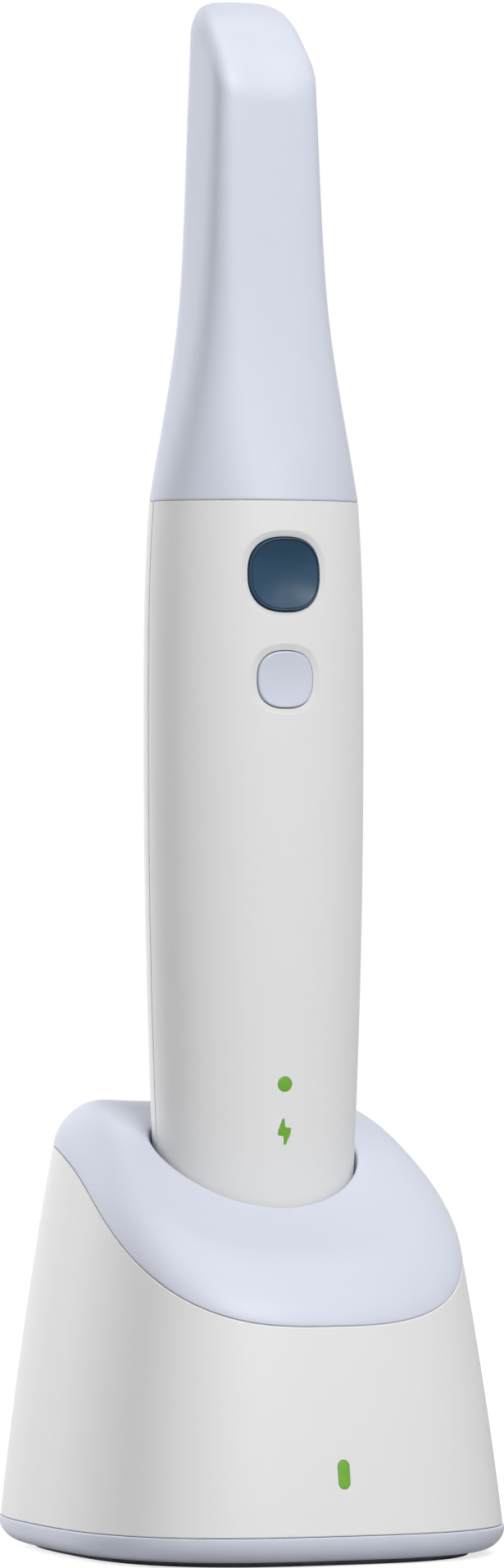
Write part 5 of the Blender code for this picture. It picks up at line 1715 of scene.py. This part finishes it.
@dataclass
class MirrorTip:
    """Pull-off tip sleeve with its sloping hood and scan window, and the mirror under the hood."""

    length: float = 83.0 * MM
    head_level: float = 203.0 * MM
    cone_draft: float = 0.25
    cone_width: float = 17.34 * MM
    cone_depth: float = 13.2 * MM
    cone_depth_draft: float = 0.187
    head_width: float = 9.1 * MM
    head_front: float = 7.57 * MM
    head_rear: float = 8.9 * MM
    head_draft: float = 0.034
    rear_draft: float = 0.010
    blend: float = 1.56 * MM
    head_power: float = 5.3
    wall: float = 1.5 * MM
    crown_level: float = 225.0 * MM
    crown_radius: float = 18.0 * MM
    top_radius: float = 5.4 * MM
    hood_level: float = 210.8 * MM
    hood_radius: float = 2.7 * MM
    brow_ease: float = 4.0 * MM
    dome_level: float = 202.0 * MM
    window_level: float = 210.0 * MM
    window_half: tuple[float, float] = (6.2 * MM, 7.0 * MM)
    window_power: float = 6.0
    brow_start: float = 2.0 * MM
    brow_reach: float = 6.0 * MM
    bore_round: float = 3.4 * MM
    bore_ease: float = 0.8 * MM
    seat_gap: float = 0.03 * MM
    lip_edge: float = 0.36 * MM
    dome_centre_y: float = 1.2 * MM
    dome_rings: int = 96
    dome_reach: float = 30.0 * MM
    dome_passes: int = 34
    turns: list[float] = field(default_factory=lambda: even_turns(3.4, 160))

    @property
    def top(self) -> float:
        """Level of the tip's top above the handle's foot."""
        return HANDLE.length + self.length

    def tapers(self, level: float, cone: float, draft: float, head: float, head_draft: float) -> float:
        """Two straight tapers run into each other with a soft bend.

        Args:
            level: Level above the handle's foot.
            cone: Half size of the cone at the joint.
            draft: Slope of the cone.
            head: Half size of the head.
            head_draft: Slope of the head.

        Returns:
            The half size at the level.
        """
        low = cone - draft * (level - HANDLE.length)
        high = head + head_draft * (self.head_level - level)
        return (low + high) / 2 + math.hypot((low - high) / 2, self.blend)

    def walls(self, level: float) -> tuple[float, float, float, float]:
        """Half width, front, rear and power of the section at a level, without hood or rounding.

        Args:
            level: Level above the handle's foot.

        Returns:
            Half width, front depth, rear depth and power.
        """
        width = self.tapers(level, self.cone_width, self.cone_draft, self.head_width, self.head_draft)
        front = self.tapers(level, self.cone_depth, self.cone_depth_draft, self.head_front, self.head_draft)
        rear = self.tapers(level, self.cone_depth, self.cone_depth_draft, self.head_rear, self.rear_draft)
        share = min(max((level - HANDLE.length) / (self.head_level - HANDLE.length), 0.0), 1.0)
        return width, front, rear, 2.0 + (self.head_power - 2.0) * share

    def off(self, point: Vector) -> float:
        """Distance-like measure of how far a point lies outside the tip's rounded outer form.

        Args:
            point: Point in the shared frame.

        Returns:
            Metres, below zero inside and zero on the form.
        """
        level = point.z - HANDLE.foot_z
        y = point.y - HANDLE.foot_y
        width, front, rear, power = self.walls(level)
        centre, depth = (rear - front) / 2, (rear + front) / 2
        radius = ((abs(point.x) / width) ** power + (abs(y - centre) / depth) ** power) ** (1.0 / power)
        wall = math.hypot(point.x, y - centre) * (1.0 - 1.0 / radius) if radius > 1e-6 else -depth
        if level < self.dome_level - 2 * MM:
            return wall
        hood = (-y - front + level - self.hood_level) / math.sqrt(2.0)
        share = min(abs(point.x) / width, 1.0)
        brow = (1.0 - share**3) * min(max((self.brow_start - y) / self.brow_reach, 0.0), 1.0)
        rounded = self.fillet(wall, hood, self.hood_radius)
        rounded += (self.eased(wall, hood, self.brow_ease) - rounded) * brow
        crown = level - self.crown_level + point.x**2 / (2 * self.crown_radius)
        return self.fillet(rounded, crown, self.top_radius)

    @staticmethod
    def fillet(first: float, second: float, radius: float) -> float:
        """Join two half-space distances with a rounded edge of some radius.

        Args:
            first: Distance outside the first half-space.
            second: Distance outside the second half-space.
            radius: Radius of the edge.

        Returns:
            The joint distance.
        """
        if first < -radius or second < -radius:
            return max(first, second)
        over = math.hypot(max(first + radius, 0.0), max(second + radius, 0.0))
        return min(max(first, second), -radius) + over

    @staticmethod
    def eased(first: float, second: float, reach: float) -> float:
        """Join two half-space distances with a soft bend, for walls that meet at a blunt angle."""
        near = max(reach - abs(first - second), 0.0) / reach
        return max(first, second) + near * near * reach / 4

    def section(self, level: float, inset: float) -> Ring:
        """Ring of the tip's walls at a level, moved inwards.

        Args:
            level: Level above the handle's foot.
            inset: Distance moved inwards.

        Returns:
            The ring.
        """
        width, front, rear, power = self.walls(level)
        centre, depth = (rear - front) / 2, (rear + front) / 2 - inset
        points = []
        for turn in self.turns:
            x, y = power_point(turn, power)
            place = (x * (width - inset), HANDLE.foot_y + centre + y * depth, HANDLE.foot_z + level)
            points.append(Vector(place))
        return points

    def bore(self, level: float) -> Ring:
        """Ring of the tip's bore at a level, kept under the hood.

        Args:
            level: Level above the handle's foot.

        Returns:
            The ring.
        """
        width, front, rear, power = self.walls(level)
        radius = self.bore_round
        above = min(max(level - (self.top - radius), 0.0), radius)
        rounded = radius - math.sqrt(radius**2 - above * above)
        near = front - self.hood_slope(level) - self.wall
        far = rear - rounded - self.wall
        centre, depth = (far - near) / 2, (far + near) / 2
        points = []
        for turn in self.turns:
            x, y = power_point(turn, power)
            across = x * (width - rounded - self.wall)
            points.append(Vector((across, HANDLE.foot_y + centre + y * depth, HANDLE.foot_z + level)))
        return points

    def hood_slope(self, level: float) -> float:
        """Distance that the bore's front gives way under the hood at a level."""
        slope = level - self.hood_level + self.wall * (math.sqrt(2.0) - 1.0)
        return (slope + math.hypot(slope, self.bore_ease)) / 2

    def dome(self) -> list[Ring]:
        """Rings that close the head: rays from its middle, each followed out to the rounded form.

        Returns:
            The rings, the last of one point.
        """
        middle = Vector((0.0, HANDLE.foot_y + self.dome_centre_y, HANDLE.foot_z + self.dome_level))
        rings = []
        base = self.section(self.dome_level, 0.0)
        for share in spread(0.0, 1.0, self.dome_rings)[1:]:
            lift = math.pi / 2 * math.sin(math.pi / 2 * share)
            ring = []
            for start in base:
                flat = (start - middle).normalized()
                ray = flat * math.cos(lift) + Vector((0.0, 0.0, math.sin(lift)))
                ring.append(middle + ray * self.reach(middle, ray))
                if share == 1.0:
                    break
            rings.append(ring)
        return rings

    def reach(self, middle: Vector, ray: Vector) -> float:
        """Distance along a ray from inside the head to its surface.

        Args:
            middle: Start of the ray.
            ray: Its unit direction.

        Returns:
            The distance.
        """
        low, high = 0.0, self.dome_reach
        for _ in range(self.dome_passes):
            half = (low + high) / 2
            if self.off(middle + ray * half) > 0.0:
                high = half
            else:
                low = half
        return low

    def sleeve_mesh(self) -> bpy.types.Mesh:
        """Tip sleeve with its open lower end.

        Returns:
            The closed mesh.
        """
        start = HANDLE.length + self.seat_gap
        edge = self.lip_edge
        skin = Skin("tip_sleeve_shell")
        inner_top = self.top - self.bore_round - self.wall
        skin.add([self.bore(level) for level in spread(inner_top, start + edge, 60)])
        skin.add([self.section(start, self.wall)])
        for angle in reversed(quarter(5)):
            skin.add([self.section(start + edge * (1.0 - math.sin(angle)), edge * (1.0 - math.cos(angle)))])
        skin.add([self.section(level, 0.0) for level in spread(start + edge, self.dome_level, 110)[1:]])
        skin.add(self.dome())
        return skin.mesh(crease=30.0)

    def window_cutter(self) -> bpy.types.Mesh:
        """Scan window through the rear wall with a softened rim.

        Returns:
            The closed mesh.
        """
        rear = HANDLE.foot_y + self.head_rear
        skin = Skin("scan_window")
        for grow, out in ((0.0, -4.5), (0.0, -0.25), (0.05, -0.1), (0.16, 0.0), (0.32, 0.06), (0.32, 3.0)):
            half_width, half_height = (half + grow * MM for half in self.window_half)
            outline = squircle(half_width, half_height, self.window_power, 112)
            skin.add([upright(outline, rear + out * MM, HANDLE.foot_z + self.window_level)])
        return skin.mesh()

    def build(self) -> None:
        """Place the sleeve with its window."""
        mesh = self.sleeve_mesh()
        sleeve = Workshop.place("tip_sleeve_shell", mesh, Palette.lavender, Body.TIP, ("tip_sleeve",))
        carver = Carver(sleeve)
        carver.cut([self.window_cutter()], 30.0)
        carver.true_normals(self.off)
        LOG.info("tip_sleeve_shell: %d faces on %s", len(sleeve.data.polygons), Body.TIP.value)


@dataclass
class OpticsNose:
    """Nose that carries the tip: barrel with a flange and a seal groove, window and seal."""

    tip: MirrorTip
    flange: float = 4.3 * MM
    top_level: float = 185.0 * MM
    clearance: float = 0.5 * MM
    wall: float = 1.4 * MM
    shell_wall: float = 1.8 * MM
    window_thickness: float = 1.2 * MM
    window_ledge: float = 0.7 * MM
    seal_level: float = 145.0 * MM
    seal_width: float = 1.6 * MM
    seal_groove: float = 0.9 * MM
    seal_bulge: float = 0.15 * MM
    edge: float = 0.25 * MM
    chamfer: float = 0.15 * MM

    def ring(self, level: float, inset: float) -> Ring:
        """Ring that follows the inside of the tip with a running clearance."""
        return self.tip.section(level, self.tip.wall + self.clearance + inset)

    def flange_ring(self, level: float, inset: float) -> Ring:
        """Ring of the flange inside the handle's shells."""
        return [HANDLE.point(turn, level, inset) for turn in self.tip.turns]

    def barrel_mesh(self) -> bpy.types.Mesh:
        """Barrel as one tube from the flange up and back down inside.

        Returns:
            The closed mesh.
        """
        plug = self.shell_wall + GAP
        length, start, edge = HANDLE.length, HANDLE.length - self.flange, self.edge
        seal, above = self.seal_level, self.seal_level + self.seal_width
        seat = self.top_level - self.window_thickness - GAP
        ledge = self.wall - self.window_ledge
        skin = Skin("nose_barrel_tube")
        skin.add([self.flange_ring(start, plug), self.flange_ring(length - edge, plug)])
        skin.add([self.flange_ring(length, plug + edge), self.ring(length, 0.0)])
        skin.add([self.ring(seal - edge, 0.0), self.ring(seal, edge), self.ring(seal, self.seal_groove)])
        skin.add([self.ring(above, self.seal_groove), self.ring(above, edge), self.ring(above + edge, 0.0)])
        skin.add([self.ring(level, 0.0) for level in spread(above + 1.5 * MM, self.top_level - 2 * edge, 36)])
        for angle in quarter(4)[1:]:
            rise = 2 * edge * (1.0 - math.sin(angle))
            skin.add([self.ring(self.top_level - rise, 2 * edge * (1.0 - math.cos(angle)))])
        skin.add([self.ring(self.top_level, ledge), self.ring(seat, ledge), self.ring(seat, self.wall)])
        skin.add([self.ring(level, self.wall) for level in spread(seat - 6 * MM, above + 2 * MM, 12)])
        thick = self.wall + self.seal_groove
        skin.add([self.ring(seal - MM, thick), self.ring(length, thick)])
        skin.add([self.flange_ring(start, plug + 2 * self.wall + self.seal_groove)])
        return skin.mesh(tube=True)

    def window_mesh(self) -> bpy.types.Mesh:
        """Window pane with chamfered edges.

        Returns:
            The closed mesh.
        """
        inset = self.wall - self.window_ledge + GAP
        seat = self.top_level - self.window_thickness
        chamfer = self.chamfer
        skin = Skin("nose_window_pane")
        skin.add([self.ring(seat, inset + chamfer), self.ring(seat + chamfer, inset)])
        skin.add([self.ring(self.top_level - chamfer, inset), self.ring(self.top_level, inset + chamfer)])
        return skin.mesh()

    def seal_mesh(self) -> bpy.types.Mesh:
        """Seal with a rounded back that touches the tip's bore.

        Returns:
            The closed mesh.
        """
        low, high = self.seal_level + GAP / 2, self.seal_level + self.seal_width - GAP / 2
        inner = self.seal_groove - GAP / 2
        skin = Skin("tip_seal_ring")
        skin.add([self.ring(low, inner)])
        for share in spread(0.0, 1.0, 9):
            bulge = self.seal_bulge * math.sin(math.pi * share) ** 0.6
            skin.add([self.ring(low + (high - low) * share, -bulge)])
        skin.add([self.ring(high, inner)])
        return skin.mesh(tube=True)

    def build(self) -> None:
        """Place barrel, window and seal."""
        Workshop.place("nose_barrel_tube", self.barrel_mesh(), Palette.aluminium, Body.BASE, ("nose_barrel",))
        Workshop.place("nose_window_pane", self.window_mesh(), Palette.window, Body.BASE, ("nose_window",))
        Workshop.place("tip_seal_ring", self.seal_mesh(), Palette.rubber, Body.BASE, ("tip_seal",))
        LOG.info("nose_barrel_tube, nose_window_pane and tip_seal_ring: under the tip")


@dataclass
class TipMirror:
    """Front-coated mirror bonded under the hood, with ground edges."""

    tip: MirrorTip
    half_width: float = 5.9 * MM
    length: float = 10.4 * MM
    thickness: float = 1.2 * MM
    rise: float = 3.6 * MM
    bed: float = 0.55 * MM
    chamfer: float = 0.2 * MM
    power: float = 14.0

    def mesh(self) -> bpy.types.Mesh:
        """Plate at 45 degrees with a chamfer all round.

        Returns:
            The closed mesh.
        """
        level = self.tip.hood_level + self.rise
        front = self.tip.walls(level)[1] - self.tip.hood_slope(level) - self.tip.wall
        offset = (self.bed + self.thickness / 2) * math.sqrt(2.0)
        middle = Vector((0.0, HANDLE.foot_y - front + offset, HANDLE.foot_z + level))
        along = Vector((0.0, 1.0, 1.0)).normalized()
        across = Vector((0.0, -1.0, 1.0)).normalized()
        skin = Skin("tip_mirror_plate")
        half, slim = self.thickness / 2, self.chamfer
        for depth, inset in ((-half, slim), (-half + slim, 0.0), (half - slim, 0.0), (half, slim)):
            outline = squircle(self.half_width - inset, self.length / 2 - inset, self.power, 96)
            skin.add([[middle + Vector((x, 0.0, 0.0)) + along * v + across * depth for x, v in outline]])
        return skin.mesh()

    def build(self) -> None:
        """Place the mirror on the tip."""
        Workshop.place("tip_mirror_plate", self.mesh(), Palette.mirror, Body.TIP, ("tip_mirror",))
        LOG.info("tip_mirror_plate: bonded under the hood")


class InnerWorks:
    """Finishes of the nodes that keep their CAD shape."""

    finishes: dict[str, Finish] = {
        "ballast_plate": Palette.steel,
        "battery_cell": Palette.wrap,
        "camera_block": Palette.black,
        "camera_board": Palette.board,
        "charge_board": Palette.board,
        "charge_contact": Palette.gold,
        "charge_pin": Palette.gold,
        "charger_board": Palette.board,
        "base_screw": Palette.steel,
        "heat_sink": Palette.aluminium,
        "heel_cap": Palette.white,
        "heel_screw": Palette.steel,
        "inner_frame": Palette.grey,
        "lens_barrel": Palette.black,
        "main_board": Palette.board,
        "mode_switch": Palette.black,
        "pin_block": Palette.black,
        "projector_module": Palette.black,
        "radio_module": Palette.steel,
        "scan_switch": Palette.black,
    }

    def dress(self) -> None:
        """Give every CAD node that is still shown its finish."""
        for name, node in sorted(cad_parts.items()):
            if node.hide_render:
                continue
            kind = name if name in self.finishes else name.rsplit("_", 1)[0]
            Workshop.dress(node, self.finishes[kind])
            LOG.info("%s: CAD node with %s", name, self.finishes[kind].title)


@dataclass
class Studio:
    """Plain pale floor, white backdrop, soft lights and the camera of the photo."""

    ambient: float = 0.03
    camera_azimuth: float = -22.0
    camera_distance: float = 1587.0 * MM
    camera_height: float = 126.2 * MM
    camera_shift: float = -0.27 * MM
    lens: float = 220.98
    aim_height: float = 0.12
    floor_radius: float = 1.1
    floor_shade: float = 0.6
    floor_glow: float = 0.74
    lamps: tuple[tuple[str, float, float, float, float, float], ...] = (
        ("key_panel", 2.0, 36.0, 1.7, 0.8, 20.0),
        ("rim_panel", -150.0, 12.0, 1.6, 0.5, 24.5),
        ("top_panel", 20.0, 78.0, 1.5, 1.0, 7.5),
    )

    def build(self) -> None:
        """Set the stage."""
        scene = bpy.context.scene
        scene.view_settings.view_transform = "Standard"
        self.world(scene)
        self.floor()
        for lamp in self.lamps:
            self.lamp(*lamp)
        self.camera(scene)
        LOG.info("studio: %d lamps", len(self.lamps))

    def world(self, scene: bpy.types.Scene) -> None:
        """White to the camera, to gloss and through glass, and dimmer as a light.

        Args:
            scene: The scene that gets the world.
        """
        world = bpy.data.worlds.new("studio_world")
        scene.world = world
        world.use_nodes = True
        tree = world.node_tree
        path = tree.nodes.new("ShaderNodeLightPath")
        camera, through = path.outputs["Is Camera Ray"], path.outputs["Is Transmission Ray"]
        seen = ShaderGroups.sum_of(tree, "MAXIMUM", camera, through)
        shiny = ShaderGroups.sum_of(tree, "MAXIMUM", seen, path.outputs["Is Glossy Ray"])
        level = ShaderGroups.sum_of(tree, "MULTIPLY_ADD", shiny, 1.0 - self.ambient, self.ambient)
        back = tree.nodes["Background"]
        back.inputs["Color"].default_value = (1.0, 1.0, 1.0, 1.0)
        tree.links.new(level, back.inputs["Strength"])

    def floor(self) -> None:
        """Round pale floor that keeps the object's shadow."""
        skin = Skin("studio_floor")
        top, bottom = -0.02 * MM, -0.1 * MM
        for radius, z in ((0.02, top), (self.floor_radius, top), (self.floor_radius, bottom)):
            skin.add([[Vector((radius * math.cos(t), radius * math.sin(t), z)) for t in even_turns(2.0, 96)]])
        floor = bpy.data.objects.new("studio_floor", skin.mesh())
        bpy.context.scene.collection.objects.link(floor)
        made = bpy.data.materials.new("studio_floor")
        made.use_nodes = True
        tree = made.node_tree
        shader = tree.nodes["Principled BSDF"]
        shader.inputs["Base Color"].default_value = (*[self.floor_shade] * 3, 1.0)
        shader.inputs["Roughness"].default_value = 0.9
        shader.inputs["Specular IOR Level"].default_value = 0.1
        shader.inputs["Emission Color"].default_value = (1.0, 1.0, 1.0, 1.0)
        path = tree.nodes.new("ShaderNodeLightPath")
        seen = ShaderGroups.sum_of(tree, "MULTIPLY", path.outputs["Is Camera Ray"], self.floor_glow)
        tree.links.new(seen, shader.inputs["Emission Strength"])
        floor.data.materials.append(made)

    def lamp(
        self, name: str, azimuth: float, elevation: float, distance: float, size: float, power: float
    ) -> None:
        """Hang one soft panel.

        Args:
            name: Name of the lamp.
            azimuth: Degrees round the object, 0 in front of the buttons and 90 at +X.
            elevation: Degrees above the horizon.
            distance: Distance from the object's middle.
            size: Side of the panel.
            power: Watts.
        """
        data = bpy.data.lights.new(name, "AREA")
        data.shape = "SQUARE"
        data.size = size
        data.energy = power
        lamp = bpy.data.objects.new(name, data)
        bpy.context.scene.collection.objects.link(lamp)
        a, e = math.radians(azimuth), math.radians(elevation)
        back = Vector((math.sin(a) * math.cos(e), -math.cos(a) * math.cos(e), math.sin(e)))
        lamp.location = Vector((0.0, 0.0, self.aim_height)) + back * distance
        lamp.rotation_mode = "QUATERNION"
        lamp.rotation_quaternion = back.to_track_quat("Z", "Y")
        lamp.visible_glossy = name != "rim_panel"

    def camera(self, scene: bpy.types.Scene) -> None:
        """Place the camera level with the middle of the object.

        Args:
            scene: The scene that gets the camera.
        """
        data = bpy.data.cameras.new("photo_camera")
        data.lens = self.lens
        data.sensor_width = 36.0
        data.clip_start = 0.1
        data.clip_end = 20.0
        camera = bpy.data.objects.new("photo_camera", data)
        scene.collection.objects.link(camera)
        a = math.radians(self.camera_azimuth)
        back = Vector((math.sin(a), -math.cos(a), 0.0))
        right = Vector((math.cos(a), math.sin(a), 0.0))
        place = Vector((0.0, HANDLE.foot_y, self.camera_height))
        camera.location = place + back * self.camera_distance + right * self.camera_shift
        camera.rotation_mode = "QUATERNION"
        camera.rotation_quaternion = back.to_track_quat("Z", "Y")
        scene.camera = camera


def main() -> None:
    """Build the base, the handpiece, the inner works and the studio, in that order."""
    logging.basicConfig(level=logging.INFO, format="%(message)s")
    ChargingBase().build()
    scan = PushButton(
        name="scan_key",
        node="scan_button",
        body=Body.SCAN_BUTTON,
        finish=Palette.navy,
        level=127.9 * MM,
        half_width=6.2 * MM,
        half_height=6.0 * MM,
        dish=1.35 * MM,
        rim_sink=-0.26 * MM,
        rim_radius=0.17 * MM,
        ridged=True,
    )
    mode = PushButton(
        name="mode_key",
        node="mode_button",
        body=Body.MODE_BUTTON,
        finish=Palette.mode,
        level=110.7 * MM,
        half_width=4.8 * MM,
        half_height=4.62 * MM,
        dish=0.35 * MM,
        rim_sink=-0.04 * MM,
        rim_radius=0.24 * MM,
        ridged=False,
    )
    HandleCasing().build((scan, mode))
    scan.build()
    mode.build()
    tip = MirrorTip()
    tip.build()
    TipMirror(tip).build()
    OpticsNose(tip).build()
    InnerWorks().dress()
    Studio().build()


if __name__ == "__main__":
    main()
